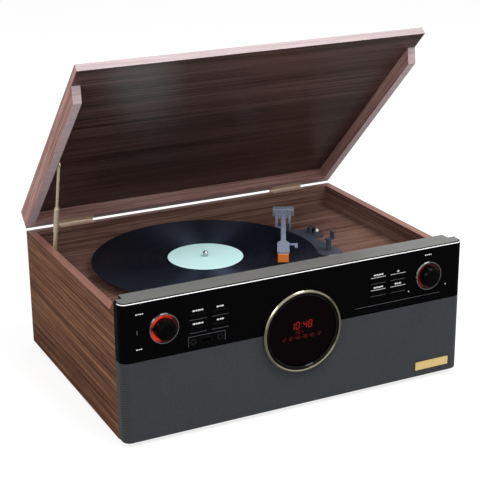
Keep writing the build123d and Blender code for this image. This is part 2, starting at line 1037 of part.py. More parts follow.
def along_stay(shape):
    """Turn a shape drawn up the Z axis from the lower pivot onto the line of the stay."""
    low, high = stay_ends()
    lean = math.degrees(math.atan2(low[0] - high[0], high[1] - low[1]))
    return Pos(0, low[0], low[1]) * Rot(X=lean) * shape


def stay_length():
    low, high = stay_ends()
    return math.hypot(high[0] - low[0], high[1] - low[1])


def stay_tube():
    x = -inner_half + stay_axis_offset
    eye_x = -inner_half + stay_side_gap
    bore = stay_rod_radius + stay_rod_clearance
    sleeve_end = stay_tube_length + stay_sleeve_length
    tube = round_z(x, 0, stay_tube_radius, stay_eye_radius + stay_side_gap, stay_tube_length)
    tube += round_z(x, 0, stay_sleeve_radius, stay_tube_length, sleeve_end)
    tube += round_x(0, 0, stay_eye_radius, eye_x, eye_x + stay_eye_thickness)
    tube += block(eye_x, eye_x + stay_eye_thickness, -stay_tube_radius, stay_tube_radius, 0,
                  stay_eye_radius + stay_bridge)
    tube += block(eye_x, x, -stay_tube_radius * 0.8, stay_tube_radius * 0.8,
                  stay_eye_radius + stay_bore_floor,
                  stay_eye_radius + stay_bridge)
    tube -= round_z(x, 0, bore, stay_eye_radius + stay_bridge + stay_bore_floor, sleeve_end)
    tube -= round_x(0, 0, stay_pin_radius + pin_clearance, eye_x, eye_x + stay_eye_thickness)
    return along_stay(tube)


def stay_rod():
    x = -inner_half + stay_axis_offset
    length = stay_length()
    start = stay_tube_length + stay_sleeve_length - stay_insert
    eye_x = -inner_half + bracket_thickness + stay_side_gap
    rod = round_z(x, 0, stay_rod_radius, start, length - stay_eye_radius + stay_bore_floor)
    rod += Pos(0, 0, length) * round_x(0, 0, stay_eye_radius, eye_x, eye_x + stay_eye_thickness)
    rod += block(eye_x, eye_x + stay_eye_thickness, -stay_rod_radius, stay_rod_radius,
                 length - stay_eye_radius - stay_bridge, length)
    rod += block(eye_x, x, -stay_rod_radius * 0.8, stay_rod_radius * 0.8,
                 length - stay_eye_radius - stay_bridge, length - stay_eye_radius)
    cap_x = eye_x + stay_eye_thickness
    rod += Pos(0, 0, length) * round_x(0, 0, cap_radius, cap_x, cap_x + cap_height)
    return along_stay(rod)


def stay_pivot():
    """The shouldered screw in the left side panel, on which the tube's eye turns."""
    low = stay_ends()[0]
    x0 = -inner_half
    head = x0 + stay_side_gap + stay_eye_thickness + knuckle_gap
    pin = round_x(low[0], low[1], stay_pin_radius, x0, head)
    return pin + round_x(low[0], low[1], stay_eye_radius, head, head + stay_head_thickness)


def stay_upper_bracket():
    """A flat brass plate on the inner face of the lid's left wall."""
    y = hinge_y - stay_lid_reach
    z = side_top + lid_gap + stay_lid_height
    plate = block(-inner_half, -inner_half + bracket_thickness, y - bracket_length / 2,
                  y + bracket_length / 2, z - bracket_height / 2, z + bracket_height / 2)
    plate = fillet(plate.edges().filter_by(Axis.X), bracket_corner)
    return opened(plate)


# Turntable
def record_base():
    return deck_top + platter_lift + platter_thickness + mat_thickness


def platter():
    x, y = spindle_place
    z0 = deck_top + platter_lift
    z1 = z0 + platter_thickness
    profile = [
        (spindle_radius, z0 - hub_depth),
        (hub_radius, z0 - hub_depth),
        (hub_radius, z0),
        (platter_radius - platter_bevel, z0),
        (platter_radius, z0 + platter_bevel),
        (platter_radius, z1 - platter_bevel),
        (platter_radius - platter_bevel, z1),
        (spindle_radius, z1),
    ]
    return turned_z(profile, x, y)


def platter_mat():
    x, y = spindle_place
    z0 = deck_top + platter_lift + platter_thickness
    mat = round_z(x, y, mat_radius, z0, z0 + mat_thickness)
    return mat - round_z(x, y, spindle_radius, z0, z0 + mat_thickness)


def record():
    """A long-playing record: raised edge, groove area a little lower, raised label."""
    x, y = spindle_place
    z0 = record_base()
    z1 = z0 + record_thickness
    low = z1 - record_groove
    profile = [
        (spindle_radius, z0),
        (record_radius - record_edge, z0),
        (record_radius, z0 + record_thickness / 2),
        (record_radius - record_edge, z1),
        (record_radius - record_rim, low),
        (label_radius + label_slope, low),
        (label_radius, z1),
        (spindle_radius, z1),
    ]
    return turned_z(profile, x, y)


def bearing_bottom():
    return deck_under - bearing_length


def spindle():
    x, y = spindle_place
    top = record_base() + record_thickness + spindle_rise
    bottom = bearing_bottom() + bearing_floor + spindle_end_gap
    profile = [
        (0, bottom),
        (spindle_radius, bottom),
        (spindle_radius, top - spindle_nose),
        (spindle_radius * 0.6, top - spindle_nose / 4),
        (0, top),
    ]
    return turned_z(profile, x, y)


def turntable_chassis():
    """A steel plate under the deck with the bearing tube and a hole for the motor's shaft."""
    x, y = spindle_place
    z1 = deck_under
    z0 = z1 - chassis_thickness
    plate = Pos(0, 0, z0) * extrude(well_outline(chassis_margin), chassis_thickness)
    plate += round_z(x, y, bearing_radius, bearing_bottom(), z1)
    plate -= round_z(x, y, spindle_radius + bearing_clearance, bearing_bottom() + bearing_floor, z1)
    px, py = pulley_place()
    return plate - round_z(px, py, motor_shaft_radius + shaft_hole_margin, z0, z1)


def motor():
    px, py = pulley_place()
    top = deck_under - chassis_thickness
    body = round_z(px, py, motor_radius, top - motor_height, top)
    bore_floor = top - motor_shaft_depth - shaft_end_gap
    return body - round_z(px, py, motor_shaft_radius + shaft_clearance, bore_floor, top)


def belt_band():
    z1 = deck_top + platter_lift - belt_drop
    return z1 - belt_height, z1


def motor_pulley():
    """The pulley and the motor's shaft, one turned piece."""
    px, py = pulley_place()
    z0, z1 = belt_band()
    shaft_end = deck_under - chassis_thickness - motor_shaft_depth
    low = z0 - pulley_margin
    high = z1 + pulley_margin
    flange = pulley_radius + pulley_flange
    profile = [
        (0, shaft_end),
        (motor_shaft_radius, shaft_end),
        (motor_shaft_radius, low - pulley_flange_thickness),
        (flange, low - pulley_flange_thickness),
        (flange, low),
        (pulley_radius, low),
        (pulley_radius, high),
        (flange, high),
        (flange, high + pulley_flange_thickness),
        (0, high + pulley_flange_thickness),
    ]
    return turned_z(profile, px, py)


def drive_belt():
    z0 = belt_band()[0]
    big = hub_radius + belt_clearance
    small = pulley_radius + belt_clearance
    loop = extrude(wheel_outline(big + belt_thickness, small + belt_thickness), belt_height)
    loop -= extrude(wheel_outline(big, small), belt_height)
    return Pos(0, 0, z0) * loop


# Tonearm
def on_arm(shape):
    """Turn a shape drawn along X from the arm's pivot to the arm's bearing over the record."""
    x, y = arm_place
    return Pos(x, y, 0) * Rot(Z=arm_bearing) * shape


def arm_height():
    return deck_top + arm_rise


def armboard():
    """A flat rounded plate that carries the pivot, the arm rest and the cue lever."""
    x, y = arm_place
    rest = (rest_x, front + rest_y)
    length = math.hypot(rest[0] - x, rest[1] - y)
    turn = math.degrees(math.atan2(rest[1] - y, rest[0] - x))
    slot = SlotCenterToCenter(length, board_width)
    board = Pos((rest[0] + x) / 2, (rest[1] + y) / 2, deck_top) * Rot(Z=turn) * extrude(slot, board_height)
    board = chamfer(board.faces().sort_by(Axis.Z)[-1].edges(), board_bevel)
    pad = Pos(lever_x, front + lever_y, deck_top)
    pad *= extrude(RectangleRounded(lever_pad_width, lever_pad_length, lever_pad_corner), board_height)
    board += pad
    px, py = lift_post_place()
    return board - round_z(px, py, lift_post_radius + shaft_clearance, deck_top, deck_top + board_height)


def arm_pivot():
    """The turning base and the yoke whose two cheeks hold the arm's axle."""
    z0 = deck_top + board_height + pivot_clearance
    z1 = z0 + pivot_disc
    cheek = yoke_width / 2
    top = arm_height() + arm_thickness / 2 + yoke_top
    base_disc = round_z(0, 0, pivot_radius, z0, z1)
    body = base_disc + block(-yoke_depth / 2, yoke_depth / 2, -cheek, cheek, z1, z1 + yoke_bridge)
    for sign in (-1, 1):
        inner = sign * (cheek - yoke_wall)
        outer = sign * cheek
        body += block(-yoke_depth / 2, yoke_depth / 2, min(inner, outer), max(inner, outer), z1, top)
    body -= round_y(0, arm_height(), axle_radius + pin_clearance, -cheek, cheek)
    return on_arm(body)


def tonearm_tube():
    """The arm with its cross block and axle ends in the yoke."""
    z = arm_height()
    gap = yoke_width / 2 - yoke_wall - yoke_clearance
    start = -yoke_depth / 2 - arm_neck
    end = arm_length - head_length - head_clearance
    tube = block(start, end, -arm_width / 2, arm_width / 2, z - arm_thickness / 2, z + arm_thickness / 2)
    tube = fillet(tube.edges().filter_by(Axis.X), arm_edge)
    half = arm_block / 2
    height = arm_thickness / 2 + arm_block_margin
    tube += block(-half, half, -gap, gap, z - height, z + height)
    tube += round_y(0, z, axle_radius, -yoke_width / 2, yoke_width / 2)
    return on_arm(tube)


def counterweight():
    """A flat cross block on the arm's tail."""
    z = arm_height()
    x1 = -yoke_depth / 2 - arm_neck
    weight = block(x1 - weight_length, x1, -weight_width / 2, weight_width / 2, z - weight_height / 2,
                   z + weight_height / 2)
    return on_arm(chamfer(weight.edges(), weight_bevel))


def headshell():
    """The flat shell with the finger lift at its right and the cartridge under it."""
    z = arm_height()
    x0 = arm_length - head_length
    x1 = arm_length + head_overhang
    z1 = z + head_thickness / 2
    half = head_width / 2
    outline = Polyline([
        (x0 - head_clearance, -arm_width / 2),
        (x0 + head_taper, -half),
        (x1 - head_corner, -half),
        (x1, -half + head_corner),
        (x1, half - head_corner),
        (x1 - head_corner, half),
        (x0 + head_taper, half),
        (x0 - head_clearance, arm_width / 2),
    ], close=True)
    shell = Pos(0, 0, z1 - head_thickness) * extrude(make_face(outline), head_thickness)
    lift_x = x1 - lifter_setback
    tip = half + lifter_length
    shell += block(lift_x, lift_x + lifter_width, 0, tip, z1 - lifter_thickness, z1)
    shell += block(lift_x, lift_x + lifter_reach, tip - lifter_width, tip, z1 - lifter_thickness, z1)
    mid = arm_length - cartridge_setback
    shell += block(mid - cartridge_length / 2, mid + cartridge_length / 2, -cartridge_width / 2,
                   cartridge_width / 2, z1 - head_thickness - cartridge_height, z1 - head_thickness)
    return on_arm(shell)


def stylus():
    """The orange stylus holder under the cartridge, with its tip just above the groove."""
    z1 = arm_height() - head_thickness / 2
    tip = record_base() + record_thickness + needle_gap
    z0 = z1 - stylus_height
    end = arm_length + stylus_overhang
    wedge = make_face(Plane.XZ * Polyline([
        (end - stylus_length, z1),
        (end - stylus_length, z0 + stylus_heel),
        (end - stylus_wedge, z0),
        (end, z0 + stylus_heel / 4),
        (end, z1),
    ], close=True))
    body = Pos(0, stylus_width / 2, 0) * extrude(wedge, stylus_width, dir=(0, -1, 0))
    low = (Align.CENTER, Align.CENTER, Align.MIN)
    needle = Cone(needle_tip, needle_radius, z0 + stylus_heel / 2 - tip, align=low)
    return on_arm(body + Pos(arm_length, 0, tip) * needle)


def arm_rest():
    """A post with a shelf and an outer wall: the arm comes in from the record's side."""
    x, y = arm_place
    rx = rest_x
    ry = front + rest_y
    distance = math.hypot(rx - x, ry - y)
    turn = math.degrees(math.atan2(ry - y, rx - x))
    shelf = arm_height() - arm_thickness / 2 - rest_gap - rest_wall
    board = deck_top + board_height
    half = rest_width / 2
    wall = arm_width / 2 + rest_gap
    post = round_z(distance, 0, rest_post_radius, board, shelf)
    post += block(distance - half, distance + half, -wall, wall + rest_wall, shelf, shelf + rest_wall)
    top = shelf + rest_wall + rest_horn
    post += block(distance - half, distance + half, wall, wall + rest_wall, shelf, top)
    return Pos(x, y, 0) * Rot(Z=turn) * post


def lift_post_place():
    x, y = arm_place
    angle = math.radians(lift_end)
    radius = (lift_inner + lift_outer) / 2
    return x + radius * math.cos(angle), y + radius * math.sin(angle)


def cue_lift():
    """A curved bar round the pivot, on a post that slides in the armboard."""
    x, y = arm_place
    z1 = arm_height() - arm_thickness / 2 - lift_gap
    z0 = z1 - lift_thickness
    sweep = lift_end - lift_start
    ring = Circle(lift_outer) - Circle(lift_inner)
    reach = 2 * lift_outer
    start = math.radians(lift_start)
    middle = math.radians(lift_start + sweep / 2)
    end = math.radians(lift_end)
    corners = [(0, 0)] + [(reach * math.cos(a), reach * math.sin(a)) for a in (start, middle, end)]
    sector = make_face(Polyline(corners, close=True))
    px, py = lift_post_place()
    bar = Pos(x, y, z0) * extrude(ring & sector, lift_thickness)
    return bar + round_z(px, py, lift_post_radius, deck_top + lift_post_start, z1)


def lever_height():
    return deck_top + board_height + lever_block / 2 + lever_rise


def cue_lever():
    """A thin lever with a ball at its tip, which tips up on its axle in a small bracket."""
    z = lever_height()
    x = lever_x
    y = front + lever_y
    half = lever_width / 2
    under = z - lever_drop
    lever = round_x(y, z, lever_hub, x - half, x + half)
    lever += block(x - half, x + half, y - lever_length, y, under, under + lever_thickness)
    lever += Pos(x, y - lever_length, under + lever_thickness) * Sphere(lever_tip_radius)
    reach = half + lever_side_gap + lever_cheek
    return lever + round_x(y, z, lever_axle, x - reach, x + reach)


def lever_bracket():
    z0 = deck_top + board_height
    z = lever_height()
    x = lever_x
    y = front + lever_y
    inner = lever_width / 2 + lever_side_gap
    cheeks = []
    for sign in (-1, 1):
        xa = x + sign * inner
        xb = x + sign * (inner + lever_cheek)
        cheek = block(min(xa, xb), max(xa, xb), y - lever_block / 2, y + lever_block / 2, z0,
                      z + lever_cheek_top)
        cheeks.append(cheek - round_x(y, z, lever_axle + pin_clearance, min(xa, xb), max(xa, xb)))
    return cheeks


def speed_selector():
    y = front + selector_y
    knob_half = selector_width / 2
    seat = deck_top + selector_clearance
    body = block(selector_x - knob_half, selector_x + knob_half, y - selector_length / 2,
                 y + selector_length / 2, seat, seat + selector_height)
    body = fillet(body.faces().sort_by(Axis.Z)[-1].edges(), 1)
    half = selector_slot / 2 - selector_clearance
    washer_top = deck_under - selector_clearance
    stem = block(selector_x - half, selector_x + half, y - half, y + half, washer_top, seat)
    reach = selector_washer / 2
    washer = block(selector_x - knob_half, selector_x + knob_half, y - reach, y + reach,
                   washer_top - selector_washer_thickness, washer_top)
    return body + stem + washer


# Electronics and rear
def rear_sockets():
    """The rear plate with two line-out sockets and a two-pin inlet."""
    z = base + rear_plate_z
    y1 = rear
    plate = rear_plate_box(0, y1 - rear_plate_thickness, y1)
    for x, pz in rear_screw_places():
        plate -= round_y(x, pz, screw_shank_radius, y1 - rear_plate_thickness, y1)
    x = rear_plate_x + rear_plate_width / 4
    half_w = inlet_width / 2
    half_h = inlet_height / 2
    plate += block(x - half_w, x + half_w, y1 - inlet_depth, y1, z - half_h, z + half_h)
    wall = inlet_wall
    plate -= block(x - half_w + wall, x + half_w - wall, y1 - inlet_depth + wall, y1,
                   z - half_h + wall, z + half_h - wall)
    for step in (-1, 1):
        sx = rear_plate_x - rear_plate_width / 4
        sz = z + step * line_out_pitch / 2
        plate += round_y(sx, sz, line_out_radius, y1 - line_out_foot, y1 + line_out_length)
        plate -= round_y(sx, sz, line_out_bore, y1 + line_out_floor, y1 + line_out_length)
    return plate


def raised_board(x0, x1, y0, y1):
    """A circuit board on four pillars."""
    floor = base + bottom_thickness
    z0 = floor + standoff
    board = block(x0, x1, y0, y1, z0, z0 + board_thickness)
    for x in (x0 + standoff_inset, x1 - standoff_inset):
        for y in (y0 + standoff_inset, y1 - standoff_inset):
            board += round_z(x, y, standoff_radius, floor, z0)
    return board


def component(x0, y0, width, depth, height):
    """A block on a circuit board, from its corner."""
    z0 = base + bottom_thickness + standoff + board_thickness
    return block(x0, x0 + width, y0, y0 + depth, z0, z0 + height)


def main_board():
    """The amplifier and radio board, with a heat sink, a screened can and a capacitor."""
    x0 = -inner_half + main_board_inset
    y1 = rear - main_board_rear_inset
    y0 = y1 - main_board_depth
    board = raised_board(x0, x0 + main_board_width, y0, y1)
    left = x0 + component_gap
    right = x0 + main_board_width - component_gap
    board += component(left, y1 - component_gap - heat_sink_depth, heat_sink_width, heat_sink_depth,
                       heat_sink_height)
    board += component(right - radio_can_width, y1 - component_gap - radio_can_depth, radio_can_width,
                       radio_can_depth, radio_can_height)
    return board + component(right - capacitor_size, y0 + component_gap, capacitor_size, capacitor_size,
                             capacitor_height)


def power_supply():
    """The supply board, with its transformer and a smoothing capacitor."""
    x1 = inner_half - supply_inset
    y1 = rear - supply_rear_inset - panel_thickness
    x0 = x1 - supply_width
    y0 = y1 - supply_depth
    board = raised_board(x0, x1, y0, y1)
    left = x0 + standoff_inset + standoff_radius
    board += component(left, y0 + standoff_inset, transformer_width, transformer_depth, transformer_height)
    return board + component(x1 - component_gap - capacitor_size, y0 + component_gap, capacitor_size,
                             capacitor_size, capacitor_height)


def armboard_with_bracket():
    board = armboard()
    for cheek in lever_bracket():
        board += cheek
    return board


def all_parts():
    parts = {
        "left_side_panel": side_panel(-1),
        "right_side_panel": side_panel(1),
        "rear_panel": rear_panel(),
        "bottom_panel": bottom_panel(),
        "deck_board": deck_board(),
        "front_baffle": front_baffle(),
        "fascia": fascia(),
        "speaker_grille": speaker_grille(),
        "nameplate": nameplate(),
        "feet": feet(),
        "screws": screws(),
        "speaker_baskets": speaker_baskets(),
        "speaker_cones": speaker_cones(),
        "display_bezel": display_bezel(),
        "display_window": display_window(),
        "clock_display": clock_display(),
        "control_boards": control_boards(),
        "knob_bezels": knob_bezels(),
        "knob_glow_rings": knob_glow_rings(),
        "source_knob": knob(-1),
        "volume_knob": knob(1),
        "front_sockets": front_sockets(),
        "cd_drawer": cd_drawer(),
        "cd_mechanism": cd_mechanism(),
        "lid_top": lid_top(),
        "lid_walls": lid_walls(),
        "hinge_lower_leaves": hinge_lower_leaves(),
        "hinge_upper_leaves": hinge_upper_leaves(),
        "stay_tube": stay_tube(),
        "stay_rod": stay_rod(),
        "stay_upper_bracket": stay_upper_bracket(),
        "platter": platter(),
        "platter_mat": platter_mat(),
        "record": record(),
        "spindle": spindle(),
        "turntable_chassis": turntable_chassis(),
        "motor": motor(),
        "motor_pulley": motor_pulley(),
        "drive_belt": drive_belt(),
        "armboard": armboard_with_bracket(),
        "arm_pivot": arm_pivot(),
        "tonearm_tube": tonearm_tube(),
        "counterweight": counterweight(),
        "headshell": headshell(),
        "stylus": stylus(),
        "arm_rest": arm_rest(),
        "cue_lift": cue_lift(),
        "cue_lever": cue_lever(),
        "speed_selector": speed_selector(),
        "rear_sockets": rear_sockets(),
        "main_board": main_board(),
        "power_supply": power_supply(),
    }
    for side in ("left", "right"):
        for index, (x, z) in enumerate(button_centres(side), start=1):
            parts[f"{side}_button_{index}"] = push_button(x, z)
    return parts


os.makedirs("parts", exist_ok=True)
for name, shape in all_parts().items():
    export_step(shape, f"parts/{name}.step")
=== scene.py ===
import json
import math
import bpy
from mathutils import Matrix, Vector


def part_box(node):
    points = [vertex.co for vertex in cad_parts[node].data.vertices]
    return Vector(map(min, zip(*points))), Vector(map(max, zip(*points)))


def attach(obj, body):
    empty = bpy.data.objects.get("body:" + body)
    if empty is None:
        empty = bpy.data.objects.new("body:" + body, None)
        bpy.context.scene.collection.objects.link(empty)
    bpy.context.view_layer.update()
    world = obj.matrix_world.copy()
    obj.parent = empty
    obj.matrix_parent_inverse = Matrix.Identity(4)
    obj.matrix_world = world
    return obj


bl_info = {
    "name": "Wooden music centre looks",
    "version": (1, 0, 0),
    "blender": (4, 5, 0),
    "location": "3D View > Sidebar > Music Centre",
    "description": "Finishes, small details and a studio for a wooden music centre with a turntable",
    "category": "Object",
}

import bmesh
import bpy
from bpy.props import FloatProperty, FloatVectorProperty, PointerProperty, StringProperty
from mathutils import Matrix, Vector

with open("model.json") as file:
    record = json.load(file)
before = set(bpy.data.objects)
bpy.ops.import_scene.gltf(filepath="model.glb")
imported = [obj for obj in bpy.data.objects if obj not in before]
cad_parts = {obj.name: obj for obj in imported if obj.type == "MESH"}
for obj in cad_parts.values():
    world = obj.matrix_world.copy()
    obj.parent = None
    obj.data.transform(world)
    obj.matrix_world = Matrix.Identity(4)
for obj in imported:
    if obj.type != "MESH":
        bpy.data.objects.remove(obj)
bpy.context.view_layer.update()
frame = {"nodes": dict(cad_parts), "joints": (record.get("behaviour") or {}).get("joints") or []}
nodes = frame["nodes"]

MM = 0.001
WORN_EDGE = 0.7 * MM
INK_AND_HIGHLIGHT_DEPTH = 0.05 * MM
LID_ANGLE = next(math.radians(j["range_deg"][1]) for j in frame["joints"] if j["name"] == "lid_hinge")


def linear(code):
    """The linear colour of an sRGB hex code."""
    shares = [int(code[i:i + 2], 16) / 255 for i in (1, 3, 5)]
    return [s / 12.92 if s <= 0.04045 else ((s + 0.055) / 1.055) ** 2.4 for s in shares] + [1.0]


def colour(name, code, description):
    """A colour property with its default written as a hex code."""
    return FloatVectorProperty(name=name, description=description, subtype="COLOR", size=4,
                               min=0.0, max=1.0, default=linear(code))


class WoodSettings(bpy.types.PropertyGroup):
    """Walnut veneer and its cut edges."""

    dark: colour("Dark grain", "#4a2b1f", "Late wood of the walnut veneer")
    mid: colour("Mid wood", "#6b4634", "Body colour of the walnut veneer")
    light: colour("Light grain", "#936649", "Early wood of the walnut veneer")
    # The deck colours are the same walnut painted lighter and greyer: painted sheen on the deck, the inner
    # sides and the rear panel's inner face.
    deck_sheen_dark: colour("Deck dark grain", "#513a33", "Late wood of the deck and the rear panel")
    deck_sheen_mid: colour("Deck mid wood", "#735449", "Body colour of the deck and the rear panel")
    deck_sheen_light: colour("Deck light grain", "#927368", "Early wood of the deck and the rear panel")
    # The colours inside the lid are the same walnut painted darker: painted shade on the underside of the
    # lid, which faces down.
    lid_shaded_dark: colour("Lid dark grain", "#2a1c1a", "Late wood of the darker veneer inside the lid")
    lid_shaded_mid: colour("Lid mid wood", "#432e2a", "Body colour of the veneer inside the lid")
    lid_shaded_light: colour("Lid light grain", "#5b4541", "Early wood of the veneer inside the lid")
    # The colours of the lid's walls are the same walnut painted paler: painted light on the lid's side walls
    # and rear wall.
    wall_lit_dark: colour("Lid wall dark grain", "#86605a", "Late wood of the lid's walls")
    wall_lit_mid: colour("Lid wall mid wood", "#a57c75", "Body colour of the lid's walls")
    wall_lit_light: colour("Lid wall light grain", "#c39d96", "Early wood of the lid's walls")
    # The edge colours are painted pale: a painted highlight on the lacquered edges of the cabinet and the
    # lid.
    edge: colour("Cut edge", "#a5766a", "Edge banding on the cabinet")
    lid_edge_highlight: colour("Lid cut edge", "#b9a5a8", "Edge banding on the lid")
    grain_width: FloatProperty(name="Grain width", description="Width of one streak of grain",
                               default=1.2 * MM, subtype="DISTANCE", unit="LENGTH")
    grain_length: FloatProperty(name="Grain length", description="Length of one streak of grain",
                                default=210 * MM, subtype="DISTANCE", unit="LENGTH")


class FrontSettings(bpy.types.PropertyGroup):
    """Fascia, grille, display, controls and sockets."""

    gloss_black: colour("Gloss black", "#050506", "Piano black of the fascia, the knobs and the buttons")
    top_band_reflection: colour("Top band", "#7c7c7a", "Sheen of the fascia's top band")
    top_edge: colour("Top edge", "#ffffff", "Light caught by the fascia's rounded top edge")
    cloth_dark: colour("Cloth shade", "#17181b", "Gaps between the cloth's threads")
    cloth_light: colour("Cloth thread", "#424549", "Threads of the speaker cloth")
    ring: colour("Display ring", "#d6cfb4", "Champagne anodised ring")
    plate: colour("Nameplate", "#eccf8b", "Brushed gold plate")
    glow: colour("Glow", "#ff3a20", "Lit ring round each knob")
    glow_strength: FloatProperty(name="Glow strength", description="Strength of the lit rings", default=0.8)
    digits: colour("Digits", "#d8201c", "Clock digits behind the window")
    # These colours serve both print and painted highlight lines on the edges of the buttons and the drawer.
    mark: colour("Bright marks", "#d9dadc", "Printed marks on the fascia")
    faint_print_and_highlight: colour("Faint marks", "#55565a", "Fainter printed lines on the fascia")
    clock_text: StringProperty(name="Clock", description="Digits that the clock shows", default="10:48")
    tuner_text: StringProperty(name="Tuner", description="Digits of the clock's middle line", default="98.4")
    date_text: StringProperty(name="Date", description="Digits of the clock's lowest line",
                              default="12.10-48-98.40-12")
    thread_spacing: FloatProperty(name="Thread spacing", description="Distance between the cloth's threads",
                                  default=2.2 * MM, subtype="DISTANCE", unit="LENGTH")
    digit_height: FloatProperty(name="Digit height", description="Height of a clock digit", default=9.0 * MM,
                                subtype="DISTANCE", unit="LENGTH")


class DeckSettings(bpy.types.PropertyGroup):
    """Record, platter and tonearm."""

    vinyl: colour("Vinyl", "#10141c", "Pressed record")
    label: colour("Label", "#d6ffff", "Bare paper label of the record")
    arm_board: colour("Arm board", "#454b57", "Blue grey arm board, arm rest and cue lift")
    arm: colour("Arm", "#939ab0", "Silver painted tonearm")
    stylus: colour("Stylus", "#ff8a3a", "Orange stylus holder")
    groove_spacing: FloatProperty(name="Groove spacing", description="Distance between two drawn grooves",
                                  default=1.5 * MM, subtype="DISTANCE", unit="LENGTH")


class StudioSettings(bpy.types.PropertyGroup):
    """Camera, lamps and floor."""

    heading: FloatProperty(name="Heading", description="Turn of the camera to the right of straight ahead",
                           default=math.radians(25.982), subtype="ANGLE", unit="ROTATION")
    tilt: FloatProperty(name="Tilt", description="Turn of the camera below the horizon",
                        default=math.radians(19.511), subtype="ANGLE", unit="ROTATION")
    roll: FloatProperty(name="Roll", description="Turn of the camera about its own axis",
                        default=math.radians(-0.642), subtype="ANGLE", unit="ROTATION")
    focal: FloatProperty(name="Focal length", description="Lens for a 36 mm wide picture", default=99.008,
                         min=20.0, max=300.0)
    spot: FloatVectorProperty(name="Place", description="Place of the camera", subtype="TRANSLATION",
                              unit="LENGTH", default=(-0.72577, -1.48531, 0.7557))
    shift_right: FloatProperty(name="Shift right", default=0.00804,
                               description="Sideways shift of the lens, in picture widths")
    shift_up: FloatProperty(name="Shift up", default=-0.00033,
                            description="Upward shift of the lens, in picture widths")
    backdrop: colour("Backdrop", "#ffffff", "Floor and background")
    room_light: FloatProperty(name="Room light", description="Strength of the even light", default=0.5)
    room_sheen: FloatProperty(name="Room sheen", description="Strength of the room in reflections",
                              default=0.5)
    backdrop_white: FloatProperty(name="Backdrop white", default=1.1,
                                  description="Strength of the white behind the object")
    floor_sheen: colour("Floor sheen", "#6e6e6e", "Floor as reflections see it")
    floor_white: FloatProperty(name="Floor white", description="Strength of the floor's own white",
                               default=1.2)
    floor_share: FloatProperty(name="Floor share", description="Share of the floor's own white", default=0.66)
    key_spot: FloatVectorProperty(name="Key lamp's place", description="Place of the main soft lamp",
                                  subtype="TRANSLATION", unit="LENGTH", default=(-1.7, -1.1, 1.5))
    key_power: FloatProperty(name="Key lamp", description="Power of the main soft lamp", default=16.0,
                             subtype="POWER", unit="POWER")
    top_spot: FloatVectorProperty(name="Top lamp's place", description="Place of the overhead soft lamp",
                                  subtype="TRANSLATION", unit="LENGTH", default=(0.5, -0.75, 1.7))
    top_power: FloatProperty(name="Top lamp", description="Power of the overhead soft lamp", default=24.0,
                             subtype="POWER", unit="POWER")


def add(tree, kind, settings=None, inputs=None):
    """Add a node, set its options, and give its inputs a value or a link."""
    made = tree.nodes.new(kind)
    for key, value in (settings or {}).items():
        setattr(made, key, value)
    for key, value in (inputs or {}).items():
        socket = made.inputs[key]
        if isinstance(value, bpy.types.NodeSocket):
            tree.links.new(value, socket)
        else:
            socket.default_value = value
    return made


def stops(ramp, pairs):
    """Set the places and colours of a colour ramp."""
    elements = ramp.color_ramp.elements
    while len(elements) < len(pairs):
        elements.new(0.5)
    for element, (place, shade) in zip(elements, pairs):
        element.position = place
        element.color = shade if hasattr(shade, "__len__") else (shade, shade, shade, 1.0)


def surface(name, values):
    """A new material with one glossy shader, and the tree to add its pattern to."""
    made = bpy.data.materials.new(name)
    made.use_nodes = True
    tree = made.node_tree
    tree.nodes.clear()
    shader = add(tree, "ShaderNodeBsdfPrincipled", None, values)
    add(tree, "ShaderNodeOutputMaterial", None, {"Surface": shader.outputs[0]})
    return made, tree, shader


def place(tree, scale, rotation=(0.0, 0.0, 0.0), location=(0.0, 0.0, 0.0)):
    """Object coordinates, turned first and then scaled."""
    where = add(tree, "ShaderNodeTexCoord")
    turned = add(tree, "ShaderNodeMapping", None, {"Vector": where.outputs["Object"], "Rotation": rotation,
                                                   "Location": location})
    return add(tree, "ShaderNodeMapping", None, {"Vector": turned.outputs[0], "Scale": scale}).outputs[0]


# Walnut veneer, sliced and satin lacquered: long fine streaks of grain in wider bands of tone,
# small dark pores, and a soft reflection from the lacquer.
def walnut_veneer(name, shades, width, length, rotation=(0.0, 0.0, 0.0), gloss=0.5, sheen=0.12):
    made, tree, shader = surface(name, {"Roughness": gloss, "IOR": 1.5, "Specular IOR Level": sheen})
    dark, mid, light = shades
    across = 1 / width
    along = 1 / length
    streaks = add(tree, "ShaderNodeTexNoise", None, {
        "Vector": place(tree, (along, across * 0.5, across * 0.5), rotation),
        "Scale": 1.0, "Detail": 7.0, "Roughness": 0.7, "Distortion": 0.15})
    bands = add(tree, "ShaderNodeTexNoise", None, {
        "Vector": place(tree, (along * 0.5, across * 0.05, across * 0.05), rotation, (3.1, 1.7, 0.4)),
        "Scale": 1.0, "Detail": 3.0, "Roughness": 0.5, "Distortion": 0.5})
    mixed = add(tree, "ShaderNodeMix", {"data_type": "FLOAT"}, {
        0: 0.25, 2: streaks.outputs[0], 3: bands.outputs[0]})
    ramp = add(tree, "ShaderNodeValToRGB", None, {"Fac": mixed.outputs[0]})
    stops(ramp, [(0.4, dark), (0.5, mid), (0.6, light)])
    # Pores are drawn 1.2 mm wide, about three times their real width, so that they show.
    pores = add(tree, "ShaderNodeTexNoise", None, {
        "Vector": place(tree, (along * 6, 1 / (1.2 * MM), 1 / (1.2 * MM)), rotation),
        "Scale": 1.0, "Detail": 2.0, "Roughness": 0.5})
    pits = add(tree, "ShaderNodeValToRGB", None, {"Fac": pores.outputs[0]})
    stops(pits, [(0.33, 0.45), (0.42, 1.0)])
    toned = add(tree, "ShaderNodeMix", {"data_type": "RGBA", "blend_type": "MULTIPLY"}, {
        0: 0.75, 6: ramp.outputs[0], 7: pits.outputs[0]})
    tree.links.new(toned.outputs[2], shader.inputs["Base Color"])
    bump = add(tree, "ShaderNodeBump", None, {"Strength": 0.25, "Distance": 0.15 * MM,
                                              "Height": pits.outputs[0]})
    tree.links.new(bump.outputs[0], shader.inputs["Normal"])
    return made
